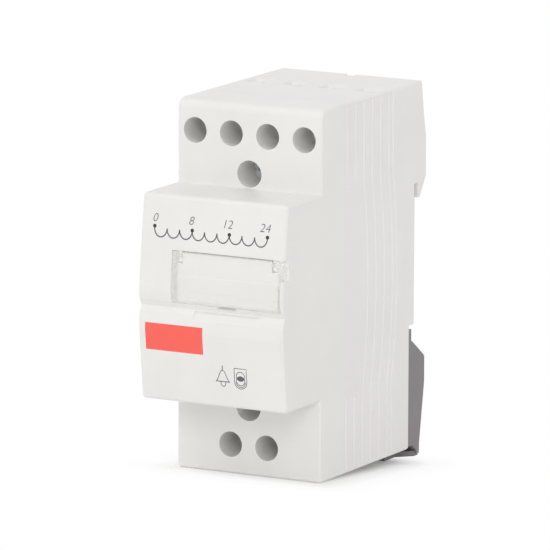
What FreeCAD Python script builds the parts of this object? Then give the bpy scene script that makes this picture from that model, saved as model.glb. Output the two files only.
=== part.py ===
"""Doorbell transformer, two modules wide, that clips on a 35 mm rail.

Millimetres. The origin is on the face that rests on the rail, level with the middle of the rail.
+X is to the right seen from the front, +Y is towards the rail and +Z is up.
"""
import FreeCAD, Part
import math
import operator
import os
import Sketcher
from FreeCAD import Placement, Rotation, Vector

doc = FreeCAD.newDocument("doorbell_transformer")
sheet = doc.addObject("Spreadsheet::Sheet", "Sizes")

# Sizes of the housing

housing_width_mm = 35.6  # width over both sides
height_above_rail_mm = 40.1  # rail centre to the top face
depth_below_rail_mm = 42.2  # rail centre to the underside
shoulder_reach_mm = 43.55  # rail seat to the face of the shoulders
seam_reach_mm = 32.9  # rail seat to the joint of cover and base
wall_mm = 1.6  # top, bottom and front walls
side_wall_mm = 1.2  # side walls
edge_bevel_mm = 0.4  # bevel along the outer side edges of the mouldings
shoulder_radius_mm = 2.0  # upper front edge of the shoulder
lower_edge_radius_mm = 0.8  # lower front edges
fit_gap_mm = 0.1  # gap between mouldings that fit together
travel_gap_mm = 0.3  # gap beside a piece that moves
lip_reach_mm = 1.5  # how far the cover's lips reach into the base
lip_half_width_mm = 12.0  # half the width of those lips

# Sizes of the nose

nose_top_mm = 21.55  # rail centre to the top of the nose
nose_bottom_mm = 23.9  # rail centre to the bottom of the nose
nose_reach_mm = 60.93  # rail seat to the foremost line of the nose
nose_top_setback_mm = 2.3  # slope of the face above the groove
nose_bottom_setback_mm = 1.7  # slope of the face below the groove
nose_crown_radius_mm = 340.0  # gentle crown of the upper face
nose_top_radius_mm = 1.2  # upper front edge of the nose
crest_height_mm = 1.2  # rail centre to the foremost line of the upper face
groove_drop_mm = 2.96  # rail centre down to the middle of the groove
groove_depth_mm = 1.33  # depth of the groove across the nose
upper_lip_rise_mm = 1.39  # middle of the groove up to its upper lip
upper_lip_setback_mm = 0.47  # set-back of the upper lip
upper_lip_radius_mm = 8.4  # rounding above the groove
lower_lip_drop_mm = 1.14  # middle of the groove down to its lower lip
lower_lip_setback_mm = 0.67  # set-back of the lower lip
lower_lip_radius_mm = 13.0  # rounding below the groove
lower_crest_mm = 8.1  # rail centre down to the top of the lower face

# Sizes of the rail seat, the hook and the side ribs

rail_half_height_mm = 17.5  # half the height of a 35 mm rail
rail_slot_width_mm = 1.35  # slot for the rail's edge, which is 1 mm thick
seat_relief_mm = 0.15  # relief behind the hook, so that the rail lies flat
seat_top_mm = 14.2  # rail centre to the tip of the hook
seat_bottom_mm = 14.1  # rail centre to the step below the seat
clip_recess_mm = 2.33  # set-back of the rear wall behind the clip
hook_reach_mm = 5.77  # rail seat to the rearmost line of the hook
hook_tip_mm = 1.06  # thickness of the hook at its tip
hook_belly_mm = 19.5  # rail centre to the lower end of the hook's back
hook_shoulder_mm = 27.7  # rail centre to the upper end of the hook's back
top_overhang_mm = 3.5  # rail seat to the rear edge of the top face
hook_groove_width_mm = 2.3  # groove down the middle of the hook's back
hook_groove_depth_mm = 1.8  # depth of that groove at the top face
rib_pitch_mm = 3.85  # distance between two side ribs
rib_width_mm = 1.15  # foot width of a side rib
rib_height_mm = 0.18  # height of a side rib above its field
rib_bow_mm = 2.2  # how far the long ribs bow to the rear at mid height
rib_start_mm = 1.8  # seam to the middle of the first rib
rib_end_mm = 0.6  # plain margin at the ends of the ribs
short_ribs = 2
long_ribs = 4

# Sizes of the terminals

terminal_pitch_mm = 9.0  # distance between two terminals
output_height_mm = 33.3  # rail centre to the output screws
input_height_mm = 35.7  # rail centre down to the input screws
driver_hole_mm = 2.85  # radius of the screwdriver holes
keeper_mouth_mm = 1.9  # half the square mouth that keeps a screw in
keeper_ledge_mm = 0.8  # thickness of the ledge round that mouth
sleeve_wall_mm = 0.9  # least wall of the screwdriver sleeves
wire_hole_mm = 1.7  # radius of the wire holes
wire_funnel_mm = 0.7  # depth of the square lead-in round the wire holes
wire_room_mm = 2.5  # half the room for a wire in an open cage
wire_depth_mm = 14.0  # rail seat to the middle of the wire holes
cage_width_mm = 5.6  # outer width of a cage
cage_wall_mm = 0.8  # sides and rear of a cage
cage_nut_mm = 1.4  # threaded plate of a cage
cage_travel_mm = 4.0  # stroke of a cage
bar_thickness_mm = 1.0  # thickness of a contact bar
bar_width_mm = 3.4  # width of a contact bar
terminal_screw_radius_mm = 1.5  # thread radius of a terminal screw
terminal_head_radius_mm = 2.6  # head radius of a terminal screw
terminal_head_height_mm = 2.2  # head height of a terminal screw
thread_gap_mm = 0.05  # running gap of a screw in its nut

# Sizes of the fixing screws

upper_fixing_mm = 24.7  # rail centre to the upper fixing screw
lower_fixing_mm = 27.1  # rail centre down to the lower fixing screw
fixing_hole_mm = 3.0  # radius of the holes over the fixing screws
fixing_sleeve_wall_mm = 0.9  # wall of those holes
fixing_floor_mm = 1.5  # floor that a fixing screw clamps
fixing_head_radius_mm = 2.5  # head radius of a fixing screw
fixing_head_height_mm = 2.0  # head height of a fixing screw
fixing_radius_mm = 1.5  # shank radius of a fixing screw
fixing_length_mm = 16.0  # length of a fixing screw below its head
boss_half_width_mm = 2.5  # half the width of the bosses that take the fixing screws

# Sizes of the label window

window_left_mm = 9.9  # middle plane to the left end of the window
window_side_mm = 0.7  # side of the housing to the right end of the window
window_top_mm = 9.75  # rail centre to the top of the window
window_bottom_mm = 1.9  # rail centre to the bottom of the window
window_floor_mm = 1.9  # depth of the window behind the nose
channel_floor_mm = 2.9  # depth of the channels at its ends
cheek_thickness_mm = 0.9  # thickness of the flap's clear ends
flap_rod_mm = 0.55  # radius of the rod on which the flap turns
flap_axis_depth_mm = 1.58  # depth of the rod's axis behind the nose
flap_axis_drop_mm = 1.15  # top of the window down to the rod's axis
flap_inner_mm = 1.3  # depth of the flap's inner face behind the nose
post_width_mm = 0.8  # width of the two posts that hold the rod
flap_step_mm = 4.25  # rail centre to the step in the flap
flap_step_depth_mm = 0.3  # depth of that step
flap_top_gap_mm = 0.2  # gap above the flap
card_thickness_mm = 0.3  # thickness of the label card
ear_height_mm = 4.6  # height of the flap's ear in the side of the nose
nail_slot_width_mm = 4.6  # slot under the flap for a finger nail
nail_slot_height_mm = 0.45  # height of that slot
scoop_width_mm = 16.0  # shallow scoop below the groove
scoop_height_mm = 2.25  # middle of the groove down to its lower end
scoop_depth_mm = 0.45  # depth of its lower end behind the nose
scoop_rear_mm = 1.6  # depth of its upper end behind the nose

# Sizes of the rail clip

clip_width_mm = 34.6  # width of the clip
clip_wall_mm = 1.2  # walls of the clip
clip_top_mm = 15.3  # rail centre down to the top of the clip
clip_ramp_mm = 18.1  # rail centre down to the start of the ramp
clip_back_mm = 6.2  # rail seat to the rearmost line of the clip
clip_knee_mm = 22.1  # rail centre down to the end of the ramp
clip_foot_mm = 44.7  # rail centre down to the bottom of the foot
clip_foot_back_mm = 4.3  # rail seat to the rear edge of the foot
foot_thickness_mm = 1.2  # thickness of the foot
foot_reach_mm = 5.5  # how far the foot reaches under the housing
foot_corner_mm = 3.2  # bevel of the foot's corners
foot_slot_width_mm = 7.0  # screwdriver slot in the foot
foot_slot_depth_mm = 2.2  # screwdriver slot, front to back
jaw_width_mm = 24.0  # width of the clip's jaw
jaw_rise_mm = 1.0  # how far the jaw overlaps the rail's edge
jaw_thickness_mm = 1.3  # thickness of the jaw
clip_travel_mm = 3.5  # stroke of the clip
guide_neck_mm = 19.0  # width of the neck of the clip's guide
guide_head_mm = 23.0  # width of the head of the clip's guide
guide_lip_mm = 1.3  # thickness of the housing's lips round the guide
guide_plate_mm = 1.2  # thickness of the guide's head
guide_top_mm = 17.0  # rail centre down to the top of the guide
spring_half_width_mm = 1.7  # half the width of the clip spring
spring_strip_mm = 0.3  # thickness of the strip that it is bent from
spring_depth_mm = 2.6  # width of that strip
spring_top_mm = 22.0  # rail centre down to the top of the spring
spring_length_mm = 11.5  # length of the spring as fitted
spring_bends = 5

# Sizes of the transformer

core_leg_mm = 6.6  # width of an outer leg of the core
core_stack_mm = 14.0  # thickness of the stack of plates
core_rear_mm = 20.5  # rail seat to the rear of the core
core_middle_mm = 1.2  # rail centre down to the middle of the core
plate_groove_mm = 0.12  # depth of the lines between plates
plate_groups = 9
bobbin_gap_mm = 0.3  # gap between the bobbin and the core
bobbin_wall_mm = 0.8  # walls of the bobbin
coil_depth_mm = 5.0  # build-up of wire on the bobbin
primary_length_mm = 9.4  # length of the primary chamber
tape_thickness_mm = 0.25  # thickness of the tape on a winding
strap_width_mm = 9.0  # width of the strap round the core
strap_thickness_mm = 0.6  # thickness of the strap
cradle_wall_mm = 1.4  # ribs that carry the core
shelf_thickness_mm = 1.2  # shelf between terminals and transformer
shelf_gap_mm = 0.3  # end of a cage to its shelf
disc_radius_mm = 4.0  # radius of the overload disc
disc_thickness_mm = 3.0  # thickness of the overload disc
lead_radius_mm = 0.45  # radius of a lead

# Lengths that remember the sheet formula they come from

OPERATIONS = {"+": operator.add, "-": operator.sub, "*": operator.mul, "/": operator.truediv}


def as_size(number):
    """A plain number as a Size, so that both can be mixed in a sum."""
    if isinstance(number, Size):
        return number
    return Size(float(number), repr(float(number)))


def combine(left, sign, right):
    left = as_size(left)
    right = as_size(right)
    value = OPERATIONS[sign](left.value, right.value)
    return Size(value, "(%s %s %s)" % (left.formula, sign, right.formula))


class Size:
    """A length with its value and the formula that gives it in the sheet."""

    def __init__(self, value, formula):
        self.value = value
        self.formula = formula

    def __add__(self, other):
        return combine(self, "+", other)

    def __radd__(self, other):
        return combine(other, "+", self)

    def __sub__(self, other):
        return combine(self, "-", other)

    def __rsub__(self, other):
        return combine(other, "-", self)

    def __mul__(self, other):
        return combine(self, "*", other)

    def __rmul__(self, other):
        return combine(other, "*", self)

    def __truediv__(self, other):
        return combine(self, "/", other)

    def __neg__(self):
        return combine(0.0, "-", self)


rows_used = 0


def driving(alias, value):
    """Write one driving dimension in the sheet and return it."""
    global rows_used
    rows_used += 1
    sheet.set("A%d" % rows_used, alias.replace("_", " "))
    sheet.set("B%d" % rows_used, str(value))
    sheet.setAlias("B%d" % rows_used, alias)
    return Size(float(value), "Sizes." + alias)


# Rows of the housing

width = driving("housing_width", housing_width_mm)
top = driving("height_above_rail", height_above_rail_mm)
bottom = -driving("depth_below_rail", depth_below_rail_mm)
shoulder = -driving("shoulder_reach", shoulder_reach_mm)
seam = -driving("seam_reach", seam_reach_mm)
wall = driving("wall", wall_mm)
side_wall = driving("side_wall", side_wall_mm)
edge_bevel = driving("edge_bevel", edge_bevel_mm)
shoulder_radius = driving("shoulder_radius", shoulder_radius_mm)
lower_edge_radius = driving("lower_edge_radius", lower_edge_radius_mm)
fit_gap = driving("fit_gap", fit_gap_mm)
travel_gap = driving("travel_gap", travel_gap_mm)
lip_reach = driving("lip_reach", lip_reach_mm)
lip_half_width = driving("lip_half_width", lip_half_width_mm)

# Rows of the nose

nose_top = driving("nose_top", nose_top_mm)
nose_bottom = -driving("nose_bottom", nose_bottom_mm)
nose_reach = driving("nose_reach", nose_reach_mm)
nose_top_setback = driving("nose_top_setback", nose_top_setback_mm)
nose_bottom_setback = driving("nose_bottom_setback", nose_bottom_setback_mm)
nose_crown_radius = driving("nose_crown_radius", nose_crown_radius_mm)
nose_top_radius = driving("nose_top_radius", nose_top_radius_mm)
crest = driving("crest_height", crest_height_mm)
groove_height = -driving("groove_drop", groove_drop_mm)
groove_depth = driving("groove_depth", groove_depth_mm)
upper_lip_rise = driving("upper_lip_rise", upper_lip_rise_mm)
upper_lip_setback = driving("upper_lip_setback", upper_lip_setback_mm)
upper_lip_radius = driving("upper_lip_radius", upper_lip_radius_mm)
lower_lip_drop = driving("lower_lip_drop", lower_lip_drop_mm)
lower_lip_setback = driving("lower_lip_setback", lower_lip_setback_mm)
lower_lip_radius = driving("lower_lip_radius", lower_lip_radius_mm)
lower_crest = -driving("lower_crest", lower_crest_mm)

# Rows of the rail seat, the hook and the side ribs

rail_half = driving("rail_half_height", rail_half_height_mm)
rail_slot = driving("rail_slot_width", rail_slot_width_mm)
seat_relief = driving("seat_relief", seat_relief_mm)
seat_top = driving("seat_top", seat_top_mm)
seat_bottom = -driving("seat_bottom", seat_bottom_mm)
clip_recess = driving("clip_recess", clip_recess_mm)
hook_reach = driving("hook_reach", hook_reach_mm)
hook_tip = driving("hook_tip", hook_tip_mm)
hook_belly = driving("hook_belly", hook_belly_mm)
hook_shoulder = driving("hook_shoulder", hook_shoulder_mm)
top_overhang = driving("top_overhang", top_overhang_mm)
hook_groove_width = driving("hook_groove_width", hook_groove_width_mm)
hook_groove_depth = driving("hook_groove_depth", hook_groove_depth_mm)
rib_pitch = driving("rib_pitch", rib_pitch_mm)
rib_width = driving("rib_width", rib_width_mm)
rib_height = driving("rib_height", rib_height_mm)
rib_bow = driving("rib_bow", rib_bow_mm)
rib_start = driving("rib_start", rib_start_mm)
rib_end = driving("rib_end", rib_end_mm)

# Rows of the terminals

terminal_pitch = driving("terminal_pitch", terminal_pitch_mm)
output_height = driving("output_height", output_height_mm)
input_height = -driving("input_height", input_height_mm)
driver_hole = driving("driver_hole", driver_hole_mm)
keeper_mouth = driving("keeper_mouth", keeper_mouth_mm)
keeper_ledge = driving("keeper_ledge", keeper_ledge_mm)
sleeve_wall = driving("sleeve_wall", sleeve_wall_mm)
wire_hole = driving("wire_hole", wire_hole_mm)
wire_funnel = driving("wire_funnel", wire_funnel_mm)
wire_room = driving("wire_room", wire_room_mm)
wire_depth = driving("wire_depth", wire_depth_mm)
cage_width = driving("cage_width", cage_width_mm)
cage_wall = driving("cage_wall", cage_wall_mm)
cage_nut = driving("cage_nut", cage_nut_mm)
cage_travel = driving("cage_travel", cage_travel_mm)
bar_thickness = driving("bar_thickness", bar_thickness_mm)
bar_width = driving("bar_width", bar_width_mm)
screw_radius = driving("terminal_screw_radius", terminal_screw_radius_mm)
head_radius = driving("terminal_head_radius", terminal_head_radius_mm)
head_height = driving("terminal_head_height", terminal_head_height_mm)
thread_gap = driving("thread_gap", thread_gap_mm)

# Rows of the fixing screws

upper_fixing = driving("upper_fixing", upper_fixing_mm)
lower_fixing = -driving("lower_fixing", lower_fixing_mm)
fixing_hole = driving("fixing_hole", fixing_hole_mm)
fixing_sleeve_wall = driving("fixing_sleeve_wall", fixing_sleeve_wall_mm)
fixing_floor = driving("fixing_floor", fixing_floor_mm)
fixing_head_radius = driving("fixing_head_radius", fixing_head_radius_mm)
fixing_head_height = driving("fixing_head_height", fixing_head_height_mm)
fixing_radius = driving("fixing_radius", fixing_radius_mm)
fixing_length = driving("fixing_length", fixing_length_mm)
boss_half = driving("boss_half_width", boss_half_width_mm)

# Rows of the label window

window_left = -driving("window_left", window_left_mm)
window_side = driving("window_side", window_side_mm)
window_top = driving("window_top", window_top_mm)
window_bottom = -driving("window_bottom", window_bottom_mm)
window_floor = driving("window_floor", window_floor_mm)
channel_floor = driving("channel_floor", channel_floor_mm)
cheek_thickness = driving("cheek_thickness", cheek_thickness_mm)
flap_rod = driving("flap_rod", flap_rod_mm)
flap_axis_depth = driving("flap_axis_depth", flap_axis_depth_mm)
flap_axis_drop = driving("flap_axis_drop", flap_axis_drop_mm)
flap_inner = driving("flap_inner", flap_inner_mm)
post_width = driving("post_width", post_width_mm)
flap_step = driving("flap_step", flap_step_mm)
flap_step_depth = driving("flap_step_depth", flap_step_depth_mm)
flap_top_gap = driving("flap_top_gap", flap_top_gap_mm)
card_thickness = driving("card_thickness", card_thickness_mm)
ear_height = driving("ear_height", ear_height_mm)
nail_slot_width = driving("nail_slot_width", nail_slot_width_mm)
nail_slot_height = driving("nail_slot_height", nail_slot_height_mm)
scoop_width = driving("scoop_width", scoop_width_mm)
scoop_height = driving("scoop_height", scoop_height_mm)
scoop_depth = driving("scoop_depth", scoop_depth_mm)
scoop_rear = driving("scoop_rear", scoop_rear_mm)

# Rows of the rail clip

clip_width = driving("clip_width", clip_width_mm)
clip_wall = driving("clip_wall", clip_wall_mm)
clip_top = -driving("clip_top", clip_top_mm)
clip_ramp = -driving("clip_ramp", clip_ramp_mm)
clip_back = driving("clip_back", clip_back_mm)
clip_knee = -driving("clip_knee", clip_knee_mm)
clip_foot = -driving("clip_foot", clip_foot_mm)
clip_foot_back = driving("clip_foot_back", clip_foot_back_mm)
foot_thickness = driving("foot_thickness", foot_thickness_mm)
foot_reach = driving("foot_reach", foot_reach_mm)
foot_corner = driving("foot_corner", foot_corner_mm)
foot_slot_width = driving("foot_slot_width", foot_slot_width_mm)
foot_slot_depth = driving("foot_slot_depth", foot_slot_depth_mm)
jaw_width = driving("jaw_width", jaw_width_mm)
jaw_rise = driving("jaw_rise", jaw_rise_mm)
jaw_thickness = driving("jaw_thickness", jaw_thickness_mm)
clip_travel = driving("clip_travel", clip_travel_mm)
guide_neck = driving("guide_neck", guide_neck_mm)
guide_head = driving("guide_head", guide_head_mm)
guide_lip = driving("guide_lip", guide_lip_mm)
guide_plate = driving("guide_plate", guide_plate_mm)
guide_top = -driving("guide_top", guide_top_mm)
spring_half = driving("spring_half_width", spring_half_width_mm)
spring_strip = driving("spring_strip", spring_strip_mm)
spring_depth = driving("spring_depth", spring_depth_mm)
spring_top = -driving("spring_top", spring_top_mm)
spring_length = driving("spring_length", spring_length_mm)

# Rows of the transformer

leg = driving("core_leg", core_leg_mm)
stack = driving("core_stack", core_stack_mm)
core_rear = -driving("core_rear", core_rear_mm)
core_middle = -driving("core_middle", core_middle_mm)
plate_groove = driving("plate_groove", plate_groove_mm)
bobbin_gap = driving("bobbin_gap", bobbin_gap_mm)
bobbin_wall = driving("bobbin_wall", bobbin_wall_mm)
coil_depth = driving("coil_depth", coil_depth_mm)
primary_share = driving("primary_length", primary_length_mm)
tape_thickness = driving("tape_thickness", tape_thickness_mm)
strap_width = driving("strap_width", strap_width_mm)
strap_thickness = driving("strap_thickness", strap_thickness_mm)
cradle_wall = driving("cradle_wall", cradle_wall_mm)
shelf_thickness = driving("shelf_thickness", shelf_thickness_mm)
shelf_gap = driving("shelf_gap", shelf_gap_mm)
disc_radius = driving("disc_radius", disc_radius_mm)
disc_thickness = driving("disc_thickness", disc_thickness_mm)
lead_radius = driving("lead_radius", lead_radius_mm)

doc.recompute()

# Places worked out from the driving dimensions

half_width = width / 2.0
inner_side = half_width - side_wall
nose_front = -nose_reach
nose_top_front = nose_front + nose_top_setback
nose_bottom_front = nose_front + nose_bottom_setback
nose_cavity_front = nose_front + channel_floor + side_wall
output_places = (-1.5 * terminal_pitch, -0.5 * terminal_pitch, 0.5 * terminal_pitch, 1.5 * terminal_pitch)
input_places = (-0.5 * terminal_pitch, 0.5 * terminal_pitch)
sleeve_end = seam - travel_gap
sleeve_ledge = sleeve_end - keeper_ledge
bar_back = -wire_depth - wire_room
bar_front = bar_back - bar_thickness
cage_rear_inside = -wire_depth + wire_room
cage_rear = cage_rear_inside + cage_wall
cage_front = bar_front - travel_gap - cage_nut
pocket_floor = cage_rear + travel_gap
pocket_width = cage_width + 2.0 * travel_gap
head_front = sleeve_end + travel_gap * 2.0
head_rear = head_front + head_height
screw_tip = bar_front - travel_gap
output_shelf = output_height - cage_width / 2.0 - shelf_gap
input_shelf = input_height + cage_width / 2.0 + shelf_gap
core_front = core_rear - 5.0 * leg
guide_front = -clip_recess - guide_lip - guide_plate - travel_gap
spring_axis = -clip_recess - guide_lip - spring_half
chamber_floor = spring_axis - spring_half - side_wall
fixing_seat = sleeve_end - fixing_floor
core_support = 0.42 * stack
upper_shelf = output_shelf - shelf_thickness
lower_shelf = input_shelf + shelf_thickness
flap_axis_y = nose_front + flap_axis_depth
flap_axis_z = window_top - flap_axis_drop
window_right = half_width - window_side
flap_left = window_left + travel_gap
flap_right = window_right - travel_gap
post_left = flap_left + cheek_thickness + travel_gap
post_right = flap_right - cheek_thickness - travel_gap
post_low = flap_axis_z - flap_rod - post_width

# Sketches and features

AXES = {"X": ("YZ_Plane", 1), "Y": ("XZ_Plane", -1), "Z": ("XY_Plane", 1)}


def origin_feature(body, role):
    return [item for item in body.Origin.OriginFeatures if item.Role == role][0]


def new_sketch(body, name, axis, place):
    """A sketch square to an axis, at a place along it."""
    role, sense = AXES[axis]
    sketch = body.newObject("Sketcher::SketchObject", name)
    sketch.AttachmentSupport = [(origin_feature(body, role), "")]
    sketch.MapMode = "FlatFace"
    sketch.setExpression("AttachmentOffset.Base.z", (as_size(place) * sense).formula)
    return sketch


def bind(sketch, kind, number, *geometry):
    """Add a dimension to a sketch and tie it to its formula."""
    size = as_size(number)
    index = sketch.addConstraint(Sketcher.Constraint(kind, *geometry, size.value))
    sketch.setExpression("Constraints[%d]" % index, size.formula)


def pin_point(sketch, geometry, end, place):
    bind(sketch, "DistanceX", place[0], -1, 1, geometry, end)
    bind(sketch, "DistanceY", place[1], -1, 1, geometry, end)


def arc_between(start, end, radius):
    """The short arc from start to end, turning left, with its angles."""
    chord = end - start
    rise = math.sqrt(radius * radius - chord.Length * chord.Length / 4.0)
    left = Vector(-chord.y, chord.x, 0).normalize()
    centre = start + chord * 0.5 + left * rise
    first = math.atan2(start.y - centre.y, start.x - centre.x)
    last = math.atan2(end.y - centre.y, end.x - centre.x)
    return Part.ArcOfCircle(Part.Circle(centre, Vector(0, 0, 1), radius), first, last)


def outline(sketch, corners):
    """Draw a closed outline, anticlockwise. A corner's third item is the radius of the arc that ends
    there, below zero where the arc turns right."""
    points = [Vector(as_size(c[0]).value, as_size(c[1]).value, 0) for c in corners]
    edges = []
    for number, corner in enumerate(corners):
        start = points[number - 1]
        end = points[number]
        first, last = 1, 2
        if len(corner) == 2:
            shape = Part.LineSegment(start, end)
        elif as_size(corner[2]).value > 0:
            shape = arc_between(start, end, as_size(corner[2]).value)
        else:
            shape = arc_between(end, start, -as_size(corner[2]).value)
            first, last = 2, 1
        edges.append((sketch.addGeometry(shape, False), first, last))
    for number, (edge, first, last) in enumerate(edges):
        before, unused, end = edges[number - 1]
        sketch.addConstraint(Sketcher.Constraint("Coincident", before, end, edge, first))
    for number, (edge, first, last) in enumerate(edges):
        corner = corners[number]
        pin_point(sketch, edge, last, corner)
        if len(corner) == 3:
            turns_left = as_size(corner[2]).value > 0
            bind(sketch, "Radius", corner[2] if turns_left else -as_size(corner[2]), edge)


def rectangle(low, high):
    return [(low[0], low[1]), (high[0], low[1]), (high[0], high[1]), (low[0], high[1])]


def ring(sketch, centre, radius):
    place = Vector(as_size(centre[0]).value, as_size(centre[1]).value, 0)
    circle = Part.Circle(place, Vector(0, 0, 1), as_size(radius).value)
    edge = sketch.addGeometry(circle, False)
    bind(sketch, "Radius", radius, edge)
    pin_point(sketch, edge, 3, centre)


def extrude(body, kind, name, axis, start, end, outlines, circles=()):
    """Add a Pad or a Pocket from start to end along an axis."""
    sketch = new_sketch(body, name + "_sketch", axis, start)
    for corners in outlines:
        outline(sketch, corners)
    for centre, radius in circles:
        ring(sketch, centre, radius)
    feature = body.newObject("PartDesign::" + kind, name)
    feature.Profile = sketch
    feature.setExpression("Length", (as_size(end) - start).formula)
    forward = AXES[axis][1] > 0
    feature.Reversed = forward if kind == "Pocket" else not forward
    base = body.Tip if body.Tip != feature else feature.BaseFeature
    doc.recompute()
    if feature.Shape.isNull() or not feature.isValid():
        raise RuntimeError("%s: %s" % (name, feature.getStatusString()))
    before = 0.0 if base is None else base.Shape.Volume
    if abs(feature.Shape.Volume - before) < 1e-4 or len(feature.Shape.Solids) != 1:
        raise RuntimeError("%s: %d solids" % (name, len(feature.Shape.Solids)))
    return feature


def pad(body, name, axis, start, end, outlines, circles=()):
    return extrude(body, "Pad", name, axis, start, end, outlines, circles)


def pocket(body, name, axis, start, end, outlines, circles=()):
    return extrude(body, "Pocket", name, axis, start, end, outlines, circles)


def edges_where(feature, test):
    """Names of the edges whose middle passes a test."""
    names = []
    for number, edge in enumerate(feature.Shape.Edges, 1):
        middle = edge.valueAt((edge.FirstParameter + edge.LastParameter) / 2.0)
        if test(edge, middle):
            names.append("Edge%d" % number)
    return names


def soften(body, name, kind, size, test):
    """A Fillet or a Chamfer on the edges that pass a test."""
    base = body.Tip
    names = edges_where(base, test)
    if not names:
        raise RuntimeError(name + " finds no edge")
    feature = body.newObject("PartDesign::" + kind, name)
    feature.Base = (base, names)
    feature.setExpression("Radius" if kind == "Fillet" else "Size", as_size(size).formula)
    doc.recompute()
    if not feature.isValid() or feature.Shape.isNull():
        raise RuntimeError("%s: %s" % (name, feature.getStatusString()))
    return feature


def near(value, size, slack=0.02):
    return abs(value - as_size(size).value) < slack


def along_x(edge):
    box = edge.BoundBox
    return box.YLength < 1e-4 and box.ZLength < 1e-4


def in_side_plane(edge, half):
    box = edge.BoundBox
    return box.XLength < 1e-4 and near(abs(box.XMin), half)


def new_body(label):
    body = doc.addObject("PartDesign::Body", label)
    body.Label = label
    return body


# Front cover


def cover_profile():
    """Side view of the cover, without the groove across its nose."""
    return [
        (seam, bottom),
        (seam, top),
        (shoulder, top),
        (shoulder, nose_top),
        (nose_top_front, nose_top),
        (nose_front, crest, nose_crown_radius),
        (nose_front, lower_crest),
        (nose_bottom_front, nose_bottom),
        (shoulder, nose_bottom),
        (shoulder, bottom),
    ]


def groove_profile():
    """What the groove takes away, with the rounded lips above and below it."""
    ahead = nose_front - 1.0
    return [
        (ahead, crest),
        (ahead, lower_crest),
        (nose_front, lower_crest),
        (nose_front + lower_lip_setback, groove_height - lower_lip_drop, -lower_lip_radius),
        (nose_front + groove_depth, groove_height),
        (nose_front + upper_lip_setback, groove_height + upper_lip_rise),
        (nose_front, crest, -upper_lip_radius),
    ]


def make_cover_shell(body):
    pad(body, "cover_block", "X", -half_width, half_width, [cover_profile()])
    soften(body, "shoulder_edge", "Fillet", shoulder_radius,
           lambda e, m: along_x(e) and near(m.y, shoulder) and near(m.z, top))
    soften(body, "nose_top_edge", "Fillet", nose_top_radius,
           lambda e, m: along_x(e) and near(m.y, nose_top_front) and near(m.z, nose_top))
    soften(body, "nose_lower_edge", "Fillet", lower_edge_radius,
           lambda e, m: along_x(e) and near(m.y, nose_bottom_front) and near(m.z, nose_bottom))
    soften(body, "base_front_edge", "Fillet", lower_edge_radius,
           lambda e, m: along_x(e) and near(m.y, shoulder) and near(m.z, bottom))
    soften(body, "cover_side_edges", "Chamfer", edge_bevel,
           lambda e, m: in_side_plane(e, half_width) and not near(m.y, seam))
    pocket(body, "nose_groove", "X", -half_width - 1.0, half_width + 1.0, [groove_profile()])


def make_cover_hollow(body):
    shoulders = rectangle((-inner_side, bottom + wall), (inner_side, top - wall))
    pocket(body, "shoulder_hollow", "Y", shoulder + wall, seam, [shoulders])
    nose = rectangle((-inner_side, nose_bottom + wall), (inner_side, nose_top - wall))
    pocket(body, "nose_hollow", "Y", nose_cavity_front, shoulder + wall, [nose])
    for name, inner, outer in (("upper", top - wall - side_wall, top - wall),
                               ("lower", bottom + wall, bottom + wall + side_wall)):
        root = rectangle((-lip_half_width, inner), (lip_half_width, outer))
        pad(body, name + "_lip_root", "Y", shoulder + wall, seam, [root])
        low = inner if name == "upper" else inner + fit_gap
        high = outer - fit_gap if name == "upper" else outer
        pad(body, name + "_lip", "Y", seam, seam + lip_reach, [rectangle((-lip_half_width, low), (lip_half_width, high))])
    presser = [
        rectangle((x - cradle_wall / 2.0, core_middle - 2.6 * leg), (x + cradle_wall / 2.0, core_middle + 2.6 * leg))
        for x in (-core_support, core_support)
    ]
    pad(body, "core_pressers", "Y", nose_cavity_front - fit_gap, core_front - fit_gap, presser)


def square(place, half):
    return rectangle((place[0] - half, place[1] - half), (place[0] + half, place[1] + half))


def make_cover_sleeves(body):
    """Square sleeves that lead a screwdriver, with a ledge at the end that keeps the screw in."""
    places = [(x, output_height) for x in output_places] + [(x, input_height) for x in input_places]
    pad(body, "sleeves", "Y", shoulder + wall / 2.0, sleeve_end,
        [square(place, driver_hole + sleeve_wall) for place in places])
    pocket(body, "driver_holes", "Y", shoulder - 1.0, sleeve_ledge, [], [(place, driver_hole) for place in places])
    pocket(body, "keeper_mouths", "Y", sleeve_ledge - fit_gap, sleeve_end + 1.0,
           [square(place, keeper_mouth) for place in places])
    fixings = [(0.0, upper_fixing), (0.0, lower_fixing)]
    pad(body, "fixing_sleeves", "Y", shoulder + wall / 2.0, sleeve_end,
        [square(place, fixing_hole + fixing_sleeve_wall) for place in fixings])
    pocket(body, "fixing_holes", "Y", shoulder - 1.0, fixing_seat, [], [(place, fixing_hole) for place in fixings])
    pocket(body, "fixing_clearance", "Y", fixing_seat - fit_gap, sleeve_end + 1.0, [],
           [(place, fixing_radius + fit_gap) for place in fixings])


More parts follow.
